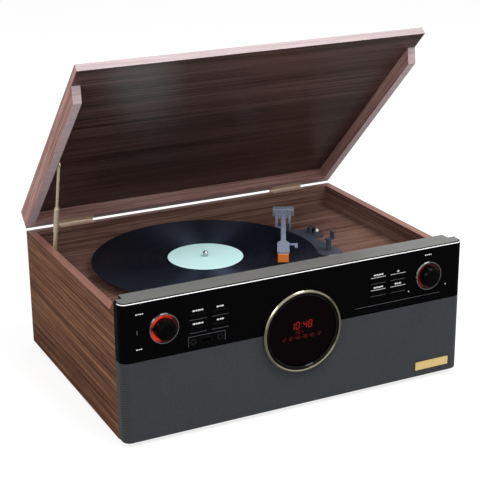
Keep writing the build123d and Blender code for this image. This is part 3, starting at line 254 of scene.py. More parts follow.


# Solid edge banding, sanded and lacquered, with faint streaks. Its pale colour is a painted highlight: the
# light that the lacquered edges catch, painted paler than the veneer.
def edge_banding_painted_highlight(name, shade, width, rotation=(0.0, 0.0, 0.0)):
    made, tree, shader = surface(name, {"Roughness": 0.35, "IOR": 1.5, "Specular IOR Level": 0.35})
    streaks = add(tree, "ShaderNodeTexNoise", None, {
        "Vector": place(tree, (9.0, 1 / width, 1 / width), rotation),
        "Scale": 1.0, "Detail": 4.0, "Roughness": 0.6})
    ramp = add(tree, "ShaderNodeValToRGB", None, {"Fac": streaks.outputs[0]})
    deep = [c * 0.72 for c in shade[:3]] + [1.0]
    stops(ramp, [(0.35, deep), (0.62, tuple(shade))])
    tree.links.new(ramp.outputs[0], shader.inputs["Base Color"])
    return made


# Medium density fibreboard, sawn: matt, with fine mottling of its fibres.
def sawn_fibreboard(name):
    made, tree, shader = surface(name, {"Roughness": 0.85, "IOR": 1.45})
    fibres = add(tree, "ShaderNodeTexNoise", None, {
        "Vector": place(tree, (1 / (2 * MM), 1 / (2 * MM), 1 / (2 * MM))),
        "Scale": 1.0, "Detail": 5.0, "Roughness": 0.7})
    ramp = add(tree, "ShaderNodeValToRGB", None, {"Fac": fibres.outputs[0]})
    stops(ramp, [(0.35, linear("#6d543b")), (0.65, linear("#8f7353"))])
    tree.links.new(ramp.outputs[0], shader.inputs["Base Color"])
    return made


# Piano black acrylic lacquer, polished: a near black body under a clear mirror coat.
# Its faint waviness keeps long reflections from being ruler straight.
def piano_black(name, shade, specular=0.12, rough=0.07):
    made, tree, shader = surface(name, {"Base Color": shade, "Roughness": rough, "IOR": 1.49,
                                        "Specular IOR Level": specular})
    waves = add(tree, "ShaderNodeTexNoise", None, {
        "Vector": place(tree, (14.0, 14.0, 14.0)), "Scale": 1.0, "Detail": 2.0})
    bump = add(tree, "ShaderNodeBump", None, {"Strength": 0.06, "Distance": 0.6 * MM,
                                              "Height": waves.outputs[0]})
    tree.links.new(bump.outputs[0], shader.inputs["Normal"])
    return made


# The same lacquer, rubbed to a satin finish, on the top band and its rounded top edge. The grey of the band
# is a painted reflection and the white of the edge a painted highlight, mottled by a faint haze.
def lacquer_with_painted_reflection(name, shade):
    made, tree, shader = surface(name, {"Roughness": 0.34, "IOR": 1.49, "Coat Weight": 0.2,
                                        "Coat Roughness": 0.2})
    haze = add(tree, "ShaderNodeTexNoise", None, {
        "Vector": place(tree, (3.0, 20.0, 20.0)), "Scale": 1.0, "Detail": 2.0})
    ramp = add(tree, "ShaderNodeValToRGB", None, {"Fac": haze.outputs[0]})
    stops(ramp, [(0.3, [c * 0.8 for c in shade[:3]] + [1.0]), (0.7, tuple(shade))])
    tree.links.new(ramp.outputs[0], shader.inputs["Base Color"])
    return made


# Woven acoustic cloth, stretched: a square weave of single threads, matt with a little fuzz.
# The threads are drawn 2.2 mm apart, about twice the real spacing, so that they show.
def woven_cloth(name, dark, light, spacing):
    made, tree, shader = surface(name, {"Roughness": 0.9, "IOR": 1.45, "Specular IOR Level": 0.2,
                                        "Sheen Weight": 0.1, "Sheen Roughness": 0.5})
    turns = 2 * math.pi / spacing
    where = add(tree, "ShaderNodeSeparateXYZ", None, {0: place(tree, (turns, turns, turns))})
    along = add(tree, "ShaderNodeMath", {"operation": "ADD"}, {0: where.outputs["X"], 1: where.outputs["Y"]})
    warp = add(tree, "ShaderNodeMath", {"operation": "SINE"}, {0: along.outputs[0]})
    weft = add(tree, "ShaderNodeMath", {"operation": "SINE"}, {0: where.outputs["Z"]})
    woven = add(tree, "ShaderNodeMath", {"operation": "MULTIPLY"}, {0: warp.outputs[0], 1: weft.outputs[0]})
    fuzz = add(tree, "ShaderNodeTexNoise", None, {
        "Vector": place(tree, (700.0, 700.0, 700.0)), "Scale": 1.0, "Detail": 3.0})
    height = add(tree, "ShaderNodeMapRange", None, {
        "Value": woven.outputs[0], "From Min": -1.0, "From Max": 1.0, "To Min": 0.0, "To Max": 1.0})
    mixed = add(tree, "ShaderNodeMix", {"data_type": "FLOAT"}, {
        0: 0.3, 2: height.outputs[0], 3: fuzz.outputs[0]})
    ramp = add(tree, "ShaderNodeValToRGB", None, {"Fac": mixed.outputs[0]})
    stops(ramp, [(0.25, dark), (0.75, light)])
    tree.links.new(ramp.outputs[0], shader.inputs["Base Color"])
    bump = add(tree, "ShaderNodeBump", None, {"Strength": 0.4, "Distance": 0.3 * MM,
                                              "Height": height.outputs[0]})
    tree.links.new(bump.outputs[0], shader.inputs["Normal"])
    return made


# A plain metal with its working marks: brushed, turned, cast or plated.
# Fine streaks change the roughness, and a weak bump breaks up the reflection. A share of metal
# below one is a metal under a clear lacquer, which shows its own colour in the shade.
def worked_metal(name, shade, rough, streak=(400.0, 400.0, 400.0), spread=0.12, depth=0.03, metal=1.0):
    made, tree, shader = surface(name, {"Base Color": shade, "Metallic": metal})
    marks = add(tree, "ShaderNodeTexNoise", None, {
        "Vector": place(tree, streak), "Scale": 1.0, "Detail": 4.0, "Roughness": 0.6})
    range_node = add(tree, "ShaderNodeMapRange", None, {
        "Value": marks.outputs[0], "From Min": 0.3, "From Max": 0.7,
        "To Min": max(rough - spread / 2, 0.02), "To Max": rough + spread / 2})
    tree.links.new(range_node.outputs[0], shader.inputs["Roughness"])
    bump = add(tree, "ShaderNodeBump", None, {"Strength": 0.2, "Distance": depth * MM,
                                              "Height": marks.outputs[0]})
    tree.links.new(bump.outputs[0], shader.inputs["Normal"])
    return made


# Moulded plastic or rubber: a fine spark-eroded grain in its roughness and bump.
def moulded(name, shade, rough, grain=0.9, depth=0.05, specular=0.5):
    made, tree, shader = surface(name, {"IOR": 1.5, "Specular IOR Level": specular})
    grit = add(tree, "ShaderNodeTexNoise", None, {
        "Vector": place(tree, (1 / (grain * MM), 1 / (grain * MM), 1 / (grain * MM))),
        "Scale": 1.0, "Detail": 3.0, "Roughness": 0.6})
    tones = add(tree, "ShaderNodeValToRGB", None, {"Fac": grit.outputs[0]})
    stops(tones, [(0.3, [c * 0.82 for c in shade[:3]] + [1.0]), (0.7, tuple(shade))])
    tree.links.new(tones.outputs[0], shader.inputs["Base Color"])
    range_node = add(tree, "ShaderNodeMapRange", None, {
        "Value": grit.outputs[0], "To Min": max(rough - 0.08, 0.02), "To Max": rough + 0.08})
    tree.links.new(range_node.outputs[0], shader.inputs["Roughness"])
    bump = add(tree, "ShaderNodeBump", None, {"Strength": 0.25, "Distance": depth * MM,
                                              "Height": grit.outputs[0]})
    tree.links.new(bump.outputs[0], shader.inputs["Normal"])
    return made


# Glowing polycarbonate: a tinted lens with lamps behind it, brighter towards the lamps than between them.
def lit_lens(name, shade, strength, centre=None, lamps=(), body="#200302"):
    made, tree, shader = surface(name, {"Base Color": linear(body), "Roughness": 0.2,
                                        "Emission Color": tuple(shade), "Emission Strength": strength})
    if not lamps:
        return made
    away = add(tree, "ShaderNodeVectorMath", {"operation": "SUBTRACT"}, {
        0: place(tree, (1.0, 1.0, 1.0)), 1: centre})
    ray = add(tree, "ShaderNodeVectorMath", {"operation": "NORMALIZE"}, {0: away.outputs[0]})
    level = None
    for angle, share in lamps:
        aim = (math.cos(math.radians(angle)), 0.0, math.sin(math.radians(angle)))
        near = add(tree, "ShaderNodeVectorMath", {"operation": "DOT_PRODUCT"}, {0: ray.outputs[0], 1: aim})
        lobe = add(tree, "ShaderNodeMapRange", None, {
            "Value": near.outputs["Value"], "From Min": 0.76, "From Max": 1.0, "To Min": 0.0,
            "To Max": share * strength})
        level = lobe.outputs[0] if level is None else add(
            tree, "ShaderNodeMath", {"operation": "ADD"}, {0: level, 1: lobe.outputs[0]}).outputs[0]
    floor = add(tree, "ShaderNodeMath", {"operation": "ADD"}, {0: level, 1: 0.02 * strength})
    tree.links.new(floor.outputs[0], shader.inputs["Emission Strength"])
    return made


# Pressed vinyl: fine rings of groove, in bands of different gloss with smooth gaps between tracks.
# The grooves spread a reflection towards the middle and the rim, and hold it narrow along themselves.
# The rings are drawn 1.5 mm apart, far coarser than real grooves, so that they show.
def pressed_vinyl(name, shade, centre, spacing):
    made, tree, shader = surface(name, {"Base Color": shade, "IOR": 1.54, "Specular IOR Level": 0.6,
                                        "Specular Tint": linear("#c3d2ff"), "Anisotropic": 0.95,
                                        "Anisotropic Rotation": 0.25})
    round_axis = add(tree, "ShaderNodeTangent", {"direction_type": "RADIAL", "axis": "Z"})
    tree.links.new(round_axis.outputs[0], shader.inputs["Tangent"])
    middle = place(tree, (1.0, 1.0, 0.0), location=(-centre[0], -centre[1], 0.0))
    radius = add(tree, "ShaderNodeVectorMath", {"operation": "LENGTH"}, {0: middle})
    turns = add(tree, "ShaderNodeMath", {"operation": "MULTIPLY"}, {
        0: radius.outputs["Value"], 1: 2 * math.pi / spacing})
    ripple = add(tree, "ShaderNodeMath", {"operation": "SINE"}, {0: turns.outputs[0]})
    spread = add(tree, "ShaderNodeCombineXYZ", None, {"X": radius.outputs["Value"]})
    tracks = add(tree, "ShaderNodeTexNoise", {"noise_dimensions": "3D"}, {
        "Vector": spread.outputs[0], "Scale": 130.0, "Detail": 3.0, "Roughness": 0.6})
    rough = add(tree, "ShaderNodeMapRange", None, {
        "Value": tracks.outputs[0], "From Min": 0.35, "From Max": 0.65, "To Min": 0.5, "To Max": 0.62})
    tree.links.new(rough.outputs[0], shader.inputs["Roughness"])
    bump = add(tree, "ShaderNodeBump", None, {"Strength": 0.35, "Distance": 0.08 * MM,
                                              "Height": ripple.outputs[0]})
    tree.links.new(bump.outputs[0], shader.inputs["Normal"])
    return made


# Uncoated label paper, pressed into the vinyl: matt, with a faint fibre mottle.
def label_paper(name, shade):
    made, tree, shader = surface(name, {"Roughness": 0.6, "IOR": 1.45})
    fibres = add(tree, "ShaderNodeTexNoise", None, {
        "Vector": place(tree, (500.0, 500.0, 500.0)), "Scale": 1.0, "Detail": 3.0})
    ramp = add(tree, "ShaderNodeValToRGB", None, {"Fac": fibres.outputs[0]})
    stops(ramp, [(0.3, [c * 0.93 for c in shade[:3]] + [1.0]), (0.7, tuple(shade))])
    tree.links.new(ramp.outputs[0], shader.inputs["Base Color"])
    return made


# Glass-fibre circuit board under green solder mask: satin, with a faint weave.
def solder_mask(name):
    made, tree, shader = surface(name, {"Roughness": 0.4, "IOR": 1.5})
    weave = add(tree, "ShaderNodeTexChecker", None, {
        "Vector": place(tree, (1.0, 1.0, 1.0)), "Scale": 400.0, "Color1": linear("#0f4a2a"),
        "Color2": linear("#0c3f24")})
    tree.links.new(weave.outputs[0], shader.inputs["Base Color"])
    return made


# Pressed paper pulp, as loudspeaker cones are made: matt and dark, with short fibres.
def pulp_paper(name):
    made, tree, shader = surface(name, {"Roughness": 0.95, "IOR": 1.4})
    fibres = add(tree, "ShaderNodeTexNoise", None, {
        "Vector": place(tree, (300.0, 900.0, 300.0)), "Scale": 1.0, "Detail": 4.0})
    ramp = add(tree, "ShaderNodeValToRGB", None, {"Fac": fibres.outputs[0]})
    stops(ramp, [(0.35, linear("#17171a")), (0.65, linear("#2b2b2f"))])
    tree.links.new(ramp.outputs[0], shader.inputs["Base Color"])
    return made


def finish(name, materials, pick=None):
    """Give a frame node its materials. pick names the slot of each face from its normal and centre."""
    mesh = nodes[name].data
    mesh.materials.clear()
    for made in materials:
        mesh.materials.append(made)
    for face in mesh.polygons:
        face.material_index = pick(face) if pick else 0


def soften(name, width, segments=2):
    """Round a frame node's edges a little with a bevel."""
    bevel = nodes[name].modifiers.new("worn_edge", "BEVEL")
    bevel.width = width
    bevel.segments = segments
    bevel.limit_method = "ANGLE"
    bevel.angle_limit = math.radians(40)
    bevel.harden_normals = True


def piece(name, mesh, body, material):
    """Put a finished mesh in the scene as a piece that rides on a body."""
    made = bpy.data.objects.new(name, mesh)
    bpy.context.scene.collection.objects.link(made)
    made.data.materials.append(material)
    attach(made, body)
    return made


def mesh_from(name, build):
    """A mesh made by a function that fills a bmesh."""
    work = bmesh.new()
    build(work)
    bmesh.ops.recalc_face_normals(work, faces=work.faces)
    mesh = bpy.data.meshes.new(name)
    work.to_mesh(mesh)
    work.free()
    return mesh


def prism(work, outline, depth):
    """A flat shape with a thickness. The outline is a list of points, depth the way it is pushed."""
    near = [work.verts.new(p) for p in outline]
    far = [work.verts.new(Vector(p) + Vector(depth)) for p in outline]
    work.faces.new(near)
    work.faces.new(list(reversed(far)))
    count = len(near)
    for i in range(count):
        j = (i + 1) % count
        work.faces.new([near[j], near[i], far[i], far[j]])


class CENTRE_OT_cabinet(bpy.types.Operator):
    """Veneer the cabinet and its deck"""

    bl_idname = "centre.cabinet"
    bl_label = "Cabinet"

    def execute(self, context):
        wood = context.scene.centre_wood
        outer = (wood.dark, wood.mid, wood.light)
        # Painted sheen: the walnut of the deck and the inner faces is painted lighter and greyer than the
        # outer veneer.
        inner = (wood.deck_sheen_dark, wood.deck_sheen_mid, wood.deck_sheen_light)
        turn = (0.0, 0.0, math.radians(90))
        side = walnut_veneer("walnut veneer, sides", outer, wood.grain_width, wood.grain_length, turn)
        inside = walnut_veneer("walnut veneer with painted sheen, inner sides", inner, wood.grain_width, wood.grain_length, turn)
        across = walnut_veneer("walnut veneer with painted sheen, deck", inner, wood.grain_width, wood.grain_length)
        rear = walnut_veneer("walnut veneer, rear", outer, wood.grain_width, wood.grain_length)
        # Painted highlight: the cabinet's edge banding is painted paler than the veneer.
        banding = edge_banding_painted_highlight("walnut edge banding", wood.edge, 3 * MM, turn)
        top_banding = edge_banding_painted_highlight("walnut edge banding, rear", wood.edge, 3 * MM)
        for sign, name in ((-1, "left_side_panel"), (1, "right_side_panel")):

            def side_slot(face, way=sign):
                if abs(face.normal.x) < 0.5:
                    return 2
                return 0 if face.normal.x * way > 0 else 1

            finish(name, [side, inside, banding], side_slot)
            soften(name, WORN_EDGE)
        finish("rear_panel", [rear, across, top_banding],
               lambda face: 2 if face.normal.z > 0.5 else 1 if face.normal.y < -0.5 else 0)
        finish("deck_board", [across])
        board = sawn_fibreboard("sawn fibreboard")
        finish("bottom_panel", [board])
        finish("front_baffle", [board])
        return {"FINISHED"}


class CENTRE_OT_lid(bpy.types.Operator):
    """Veneer the lid"""

    bl_idname = "centre.lid"
    bl_label = "Lid"

    def execute(self, context):
        wood = context.scene.centre_wood
        inside = (wood.lid_shaded_dark, wood.lid_shaded_mid, wood.lid_shaded_light)
        outside = (wood.dark, wood.mid, wood.light)
        # Painted light: the lid's walls are the same walnut, painted paler where they catch more light.
        rim = (wood.wall_lit_dark, wood.wall_lit_mid, wood.wall_lit_light)
        lean = (LID_ANGLE, 0.0, 0.0)
        along = (LID_ANGLE, 0.0, math.radians(90))
        # Painted shade: the lid's underside is the same walnut, painted darker.
        under = walnut_veneer("walnut veneer with painted shade, inside the lid", inside, wood.grain_width,
                              wood.grain_length * 1.6, lean, gloss=0.3, sheen=0.5)
        top = walnut_veneer("walnut veneer, lid top", outside, wood.grain_width, wood.grain_length, lean)
        walls = walnut_veneer("walnut veneer with painted light, lid sides", rim, wood.grain_width, wood.grain_length, along)
        back = walnut_veneer("walnut veneer with painted light, lid rear wall", rim, wood.grain_width, wood.grain_length, lean)
        # Painted highlight: the lid's edge banding is painted paler than the veneer.
        banding = edge_banding_painted_highlight("walnut edge banding, lid", wood.lid_edge_highlight, 3 * MM, lean)
        up = Vector((0, math.sin(LID_ANGLE), math.cos(LID_ANGLE)))

        def top_slot(face):
            facing = face.normal.dot(up)
            return 0 if facing < -0.5 else 1 if facing > 0.5 else 2 if face.normal.y < 0 else 3

        finish("lid_top", [under, top, banding, walls], top_slot)

        def wall_slot(face):
            if abs(face.normal.x) > 0.5:
                return 0
            return 2 if abs(face.normal.dot(up)) > 0.5 else 1

        finish("lid_walls", [walls, back, banding], wall_slot)
        for name in ("lid_top", "lid_walls"):
            soften(name, WORN_EDGE)
        return {"FINISHED"}


class CENTRE_OT_front(bpy.types.Operator):
    """Finish the fascia, the speaker cloth and the nameplate"""

    bl_idname = "centre.front"
    bl_label = "Front"

    def execute(self, context):
        front = context.scene.centre_front
        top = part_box("fascia")[1].z
        edge_radius = 2.4 * MM
        black = piano_black("piano black lacquer", front.gloss_black, 0.05)
        # Painted reflection: the top band's grey is the reflected room, painted into its colour.
        band = lacquer_with_painted_reflection("lacquer with painted reflection, top band", front.top_band_reflection)
        # Painted highlight: the rounded top edge is coloured white for the light it catches.
        edge = lacquer_with_painted_reflection("lacquer with painted highlight, rounded top edge", front.top_edge)

        def fascia_slot(face):
            if face.normal.z > 0.98 and face.center.z > top - 1 * MM:
                return 1
            rounded = face.center.z > top - edge_radius and 0.25 < face.normal.z < 0.6 and face.normal.y < 0
            return 2 if rounded else 0

        finish("fascia", [black, band, edge], fascia_slot)
        finish("speaker_grille", [woven_cloth("woven acoustic cloth", front.cloth_dark, front.cloth_light,
                                              front.thread_spacing)])
        finish("nameplate", [worked_metal("brushed gold anodised aluminium", front.plate, 0.32,
                                          (30.0, 900.0, 900.0), metal=0.3)])
        finish("speaker_cones", [pulp_paper("pressed paper pulp")])
        finish("speaker_baskets", [worked_metal("pressed zinc plated steel", linear("#8c8d90"), 0.4)])
        return {"FINISHED"}


SEGMENTS = {
    "0": "abcdef", "1": "bc", "2": "abged", "3": "abgcd", "4": "fgbc",
    "5": "afgcd", "6": "afgedc", "7": "abc", "8": "abcdefg", "9": "abcdfg",
}


def segment_bars(height, width, thick):
    """The seven bars of a digit: two ends of each bar, from the digit's lower left corner."""
    mid = height / 2
    gap = thick * 0.15
    return {
        "a": ((gap, height), (width - gap, height)),
        "d": ((gap, 0), (width - gap, 0)),
        "g": ((gap, mid), (width - gap, mid)),
        "f": ((0, mid + gap), (0, height - gap)),
        "b": ((width, mid + gap), (width, height - gap)),
        "e": ((0, gap), (0, mid - gap)),
        "c": ((width, gap), (width, mid - gap)),
    }


def draw_bar(work, start, end, thick, y):
    """A pointed bar between two points on an upright plane."""
    a = Vector((start[0], y, start[1]))
    b = Vector((end[0], y, end[1]))
    way = (b - a).normalized()
    side = Vector((-way.z, 0, way.x)) * thick / 2
    tip = way * thick / 2
    outline = [a, a + tip + side, b - tip + side, b, b - tip - side, a + tip - side]
    prism(work, outline, (0, 0.04 * MM, 0))


def write_digits(work, text, left, base, height, y):
    """Write a line of clock digits from its left end. Returns the width of the line."""
    width = height * 0.48
    thick = height * 0.13
    pitch = height * 0.78
    slant = 0.1
    bars = segment_bars(height, width, thick)
    spot = left
    for letter in text:
        if letter in ":.":
            for share in (0.3, 0.7) if letter == ":" else (0.04,):
                start = spot + thick / 2
                level = base + height * share
                draw_bar(work, (start, level), (start + thick, level), thick, y)
            spot += pitch * 0.5
            continue
        for key in "g" if letter == "-" else SEGMENTS[letter]:
            (x0, z0), (x1, z1) = bars[key]
            draw_bar(work, (spot + x0 + z0 * slant, base + z0), (spot + x1 + z1 * slant, base + z1), thick, y)
        spot += pitch
    return spot - left


class CENTRE_OT_display(bpy.types.Operator):
    """Finish the clock display and draw its digits"""

    bl_idname = "centre.display"
    bl_label = "Display"

    def execute(self, context):
        front = context.scene.centre_front
        low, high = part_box("display_bezel")
        middle = (low + high) / 2
        rim_width = 3.9 * MM
        rim_inner = (high.x - low.x) / 2 - rim_width
        dish = piano_black("piano black lacquer, dish of the ring", front.gloss_black, 0.3)

        def ring_slot(face):
            away = Vector((face.center.x - middle.x, face.center.z - middle.z)).length
            return 0 if away > rim_inner else 1

        ring = worked_metal("champagne anodised aluminium, turned", front.ring, 0.14)
        finish("display_bezel", [ring, dish], ring_slot)
        finish("display_window", [piano_black("smoked acrylic window", linear("#080405"), 0.06, 0.04)])
        finish("clock_display", [moulded("moulded black ABS, clock module", linear("#141414"), 0.5)])
        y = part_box("display_window")[0].y - 0.05 * MM
        height = front.digit_height
        left = middle.x - 16 * MM
        clock_line = middle.z + 3.5 * MM
        tuner_line = clock_line - 6.5 * MM
        date_line = clock_line - 13.5 * MM

        def digits(work):
            write_digits(work, front.clock_text, left, clock_line, height, y)

        def tuner(work):
            write_digits(work, front.tuner_text, left + 7 * MM, tuner_line, height * 0.45, y)
            write_digits(work, front.date_text, left - 13 * MM, date_line, height * 0.5, y)

        lit = lit_lens("lit red segments", front.digits, 0.42)
        piece("clock_digits", mesh_from("clock_digits", digits), "cabinet", lit)
        dim = lit_lens("dim red segments", front.digits, 0.13)
        piece("tuner_digits", mesh_from("tuner_digits", tuner), "cabinet", dim)
        return {"FINISHED"}


def ink_and_highlight_bar(work, x0, x1, z0, z1, y):
    """A thin flat rectangle laid on an upright face, for ink and for painted highlight lines."""
    prism(work, [(x0, y, z0), (x1, y, z0), (x1, y, z1), (x0, y, z1)], (0, INK_AND_HIGHLIGHT_DEPTH, 0))


def printed_caption(work, middle, z, widths, height, y):
    """A row of plain strokes in the place of a caption. The widths are millimetres."""
    gap = 0.7 * MM
    spot = middle - (sum(widths) * MM + gap * (len(widths) - 1)) / 2
    for width in widths:
        ink_and_highlight_bar(work, spot, spot + width * MM, z, z + height, y)
        spot += width * MM + gap


class CENTRE_OT_controls(bpy.types.Operator):
    """Finish the knobs and buttons, print the marks beside them and paint highlight lines on the button and
    drawer edges
    """

    bl_idname = "centre.controls"
    bl_label = "Controls"

    def execute(self, context):
        front = context.scene.centre_front
        chrome = worked_metal("chrome plated ABS, bezels", linear("#c9cacc"), 0.08, spread=0.04)
        finish("knob_bezels", [chrome])
        glows = []
        for name, lamps in (("source_knob", ((130, 0.9), (80, 0.5), (218, 0.8))),
                            ("volume_knob", ((150, 0.1), (205, 0.12)))):
            low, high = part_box(name)
            glows.append(lit_lens("glowing red polycarbonate, " + name, front.glow, front.glow_strength,
                                  (low + high) / 2, lamps))
            finish(name, [piano_black("piano black lacquer, " + name, front.gloss_black, 0.08, 0.06)])
        finish("knob_glow_rings", glows, lambda face: 0 if face.center.x < 0 else 1)
        caps = piano_black("piano black lacquer, buttons", front.gloss_black, 0.06, 0.1)
        buttons = {}
        for side in ("left", "right"):
            for index in range(1, 5):
                name = f"{side}_button_{index}"
                finish(name, [caps])
                buttons[name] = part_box(name)
        finish("control_boards", [solder_mask("green solder mask, control boards")])
        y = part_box("fascia")[0].y - 0.06 * MM
        flange = 1.0 * MM  # of a button, hidden behind the fascia
        line = 0.7 * MM
        hair = 0.5 * MM
        dot = 0.7 * MM
        caption = 1.9 * MM
        knob_caption = 1.5 * MM
        side_caption = 1.3 * MM
        eject_half = 2.2 * MM
        eject_height = 2.6 * MM
        sockets_low, sockets_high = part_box("front_sockets")
        left_knob = sum(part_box("source_knob"), Vector()) / 2
        right_knob = sum(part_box("volume_knob"), Vector()) / 2

        def bright(work):
            for name, (low, high) in buttons.items():
                above = high.z - flange + 3.0 * MM
                middle = (low.x + high.x) / 2
                if name.startswith("right"):
                    # Painted highlight: a pale line along the top edge of each right-hand button, where the
                    # edge catches the light.
                    top = high.z - flange + 0.3 * MM
                    ink_and_highlight_bar(work, low.x + flange, high.x - flange, top, top + line, y)
                if name == "right_button_2":
                    prism(work, [(middle - eject_half, y, above), (middle + eject_half, y, above),
                                 (middle, y, above + eject_height)], (0, INK_AND_HIGHLIGHT_DEPTH, 0))
                elif name.endswith(("1", "3")):
                    printed_caption(work, middle, above, (3.2, 2.1, 3.6, 2.6), caption, y)
                else:
                    printed_caption(work, middle, above, (2.8, 1.8, 3.2), caption, y)
            printed_caption(work, right_knob.x, right_knob.z + 27 * MM, (2.2, 1.5, 2.4, 1.6),
                            knob_caption, y)
            printed_caption(work, left_knob.x - 29.5 * MM, left_knob.z + 22 * MM, (2.2, 1.5, 2.4, 1.6),
                            side_caption, y)
            printed_caption(work, left_knob.x - 31 * MM, left_knob.z - 22 * MM, (2.2, 1.5, 2.4),
                            side_caption, y)
            for x, z in ((-28, -18), (28, -17.5)):
                across = right_knob.x + x * MM
                low_edge = right_knob.z + z * MM
                ink_and_highlight_bar(work, across - dot, across + dot, low_edge, low_edge + 2 * dot, y)

        def faint(work):
            # Painted highlight: a dim line along the lower edge of each button.
            for low, high in buttons.values():
                under = low.z + flange - 0.4 * MM
                ink_and_highlight_bar(work, low.x + flange, high.x - flange, under - line, under, y)
            x0 = sockets_low.x - 2.5 * MM
            x1 = sockets_high.x + 2.5 * MM
            z0 = sockets_low.z - 1.5 * MM
            z1 = sockets_high.z + 2.5 * MM
            ink_and_highlight_bar(work, x0, x1, z1, z1 + hair, y)
            ink_and_highlight_bar(work, x0, x0 + hair, z0, z1, y)
            ink_and_highlight_bar(work, x1 - hair, x1, z0, z1, y)
            # Painted highlight: a pale hairline along the drawer's top edge, in place of the light that edge
            # catches.
            drawer_low, drawer_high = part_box("cd_drawer")
            drawer_gap = drawer_high.z + 0.2 * MM
            ink_and_highlight_bar(work, drawer_low.x, drawer_high.x, drawer_gap, drawer_gap + hair, y)
            ink_and_highlight_bar(work, left_knob.x - 33.5 * MM, left_knob.x - 32.5 * MM, left_knob.z - 2.5 * MM,
                        left_knob.z + 2.5 * MM, y)

        white = moulded("silk-screened white ink and painted highlights", front.mark, 0.5)
        grey = moulded("silk-screened grey ink and painted highlights", front.faint_print_and_highlight, 0.5)
        piece("bright_print_and_painted_highlights", mesh_from("bright_print_and_painted_highlights", bright), "cabinet", white)
        piece("faint_print_and_painted_highlights", mesh_from("faint_print_and_painted_highlights", faint), "cabinet", grey)
        return {"FINISHED"}


class CENTRE_OT_sockets(bpy.types.Operator):
    """Finish the front sockets, the disc drawer and the rear plate"""

    bl_idname = "centre.sockets"
    bl_label = "Sockets and drawer"

    def execute(self, context):
        front = context.scene.centre_front
        finish("front_sockets", [worked_metal("black nickel plated steel, sockets", linear("#3d3e41"), 0.3)])
        finish("cd_drawer", [piano_black("piano black lacquer, drawer", front.gloss_black, 0.06, 0.1)])
        finish("cd_mechanism", [moulded("moulded black ABS, disc mechanism", linear("#1b1b1d"), 0.5)])
        finish("rear_sockets", [moulded("moulded black ABS, rear plate", linear("#17171a"), 0.45)])
        finish("main_board", [solder_mask("green solder mask, main board")])
        finish("power_supply", [solder_mask("green solder mask, power supply")])
        finish("feet", [moulded("moulded rubber, feet", linear("#141414"), 0.8, 1.5)])
        finish("screws", [worked_metal("zinc plated steel, screws", linear("#a9aaac"), 0.35)])
        return {"FINISHED"}


class CENTRE_OT_brass(bpy.types.Operator):
    """Finish the hinges and the lid stay"""

    bl_idname = "centre.brass"
    bl_label = "Hinges and stay"

    def execute(self, context):
        brass = worked_metal("satin brass, tarnished", linear("#dcc9b6"), 0.35, metal=0.4)
        pale = worked_metal("polished pale brass", linear("#f0e3c6"), 0.22, metal=0.6)
        for name in ("hinge_lower_leaves", "hinge_upper_leaves"):
            finish(name, [brass])
        bronze = worked_metal("dark bronze", linear("#6e5748"), 0.35)
        for name in ("stay_tube", "stay_rod"):
            finish(name, [pale])
        finish("stay_upper_bracket", [bronze])
        return {"FINISHED"}


class CENTRE_OT_record(bpy.types.Operator):
    """Finish the record, the platter and the drive"""

    bl_idname = "centre.record"
    bl_label = "Record and platter"

    def execute(self, context):
        deck = context.scene.centre_deck
        low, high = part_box("record")
        centre = (low + high) / 2
        vinyl = pressed_vinyl("pressed vinyl", deck.vinyl, centre, deck.groove_spacing)
        paper = label_paper("label paper", deck.label)

        label_radius = 50 * MM

        def record_slot(face):
            away = (Vector(face.center) - centre).to_2d().length
            return 1 if away < label_radius and face.normal.z > 0.8 and face.center.z > centre.z else 0

        finish("record", [vinyl, paper], record_slot)
        finish("platter", [worked_metal("die-cast aluminium, turned", linear("#8f9095"), 0.35)])
        finish("platter_mat", [moulded("ribbed rubber mat", linear("#151515"), 0.8, 2.0)])
        finish("spindle", [worked_metal("ground steel spindle", linear("#b6b7ba"), 0.15)])
        finish("turntable_chassis", [worked_metal("zinc plated steel, chassis", linear("#9a9ca0"), 0.4)])
        finish("motor", [worked_metal("zinc plated steel, motor can", linear("#8f9195"), 0.35)])
        finish("motor_pulley", [moulded("turned acetal, pulley", linear("#e3e1d8"), 0.35)])
        finish("drive_belt", [moulded("ground rubber, belt", linear("#121212"), 0.7)])
        return {"FINISHED"}


class CENTRE_OT_tonearm(bpy.types.Operator):
    """Finish the tonearm, its board and its rest"""

    bl_idname = "centre.tonearm"
    bl_label = "Tonearm"

    def execute(self, context):
        deck = context.scene.centre_deck
        silver = moulded("silver painted ABS, arm", deck.arm, 0.28, 1.2, 0.02)
        slate = moulded("moulded slate grey ABS, arm board", deck.arm_board, 0.3)
        black = moulded("moulded black ABS, levers", linear("#17181b"), 0.3)
        white = moulded("moulded white ABS, lever tip", linear("#e8e8e6"), 0.35)
        for name in ("tonearm_tube", "counterweight", "headshell", "arm_pivot"):
            finish(name, [silver])
        for name in ("armboard", "arm_rest", "cue_lift"):
            finish(name, [slate])
        finish("speed_selector", [black])
        ball = 5.2 * MM
        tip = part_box("cue_lever")[0].y + ball
        finish("cue_lever", [black, white], lambda face: 1 if face.center.y < tip else 0)
        finish("stylus", [moulded("translucent orange ABS, stylus", deck.stylus, 0.3, 1.2, 0.02)])
        return {"FINISHED"}


def soft_lamp(name, spot, aim, size, power):
    """A square soft lamp that looks at a point."""
    lamp = bpy.data.lights.new(name, "AREA")
    lamp.shape = "RECTANGLE"
    lamp.size, lamp.size_y = size
    lamp.energy = power
    made = bpy.data.objects.new(name, lamp)
    made.location = spot
    made.rotation_euler = (Vector(aim) - Vector(spot)).to_track_quat("-Z", "Y").to_euler()
    bpy.context.scene.collection.objects.link(made)
    return made


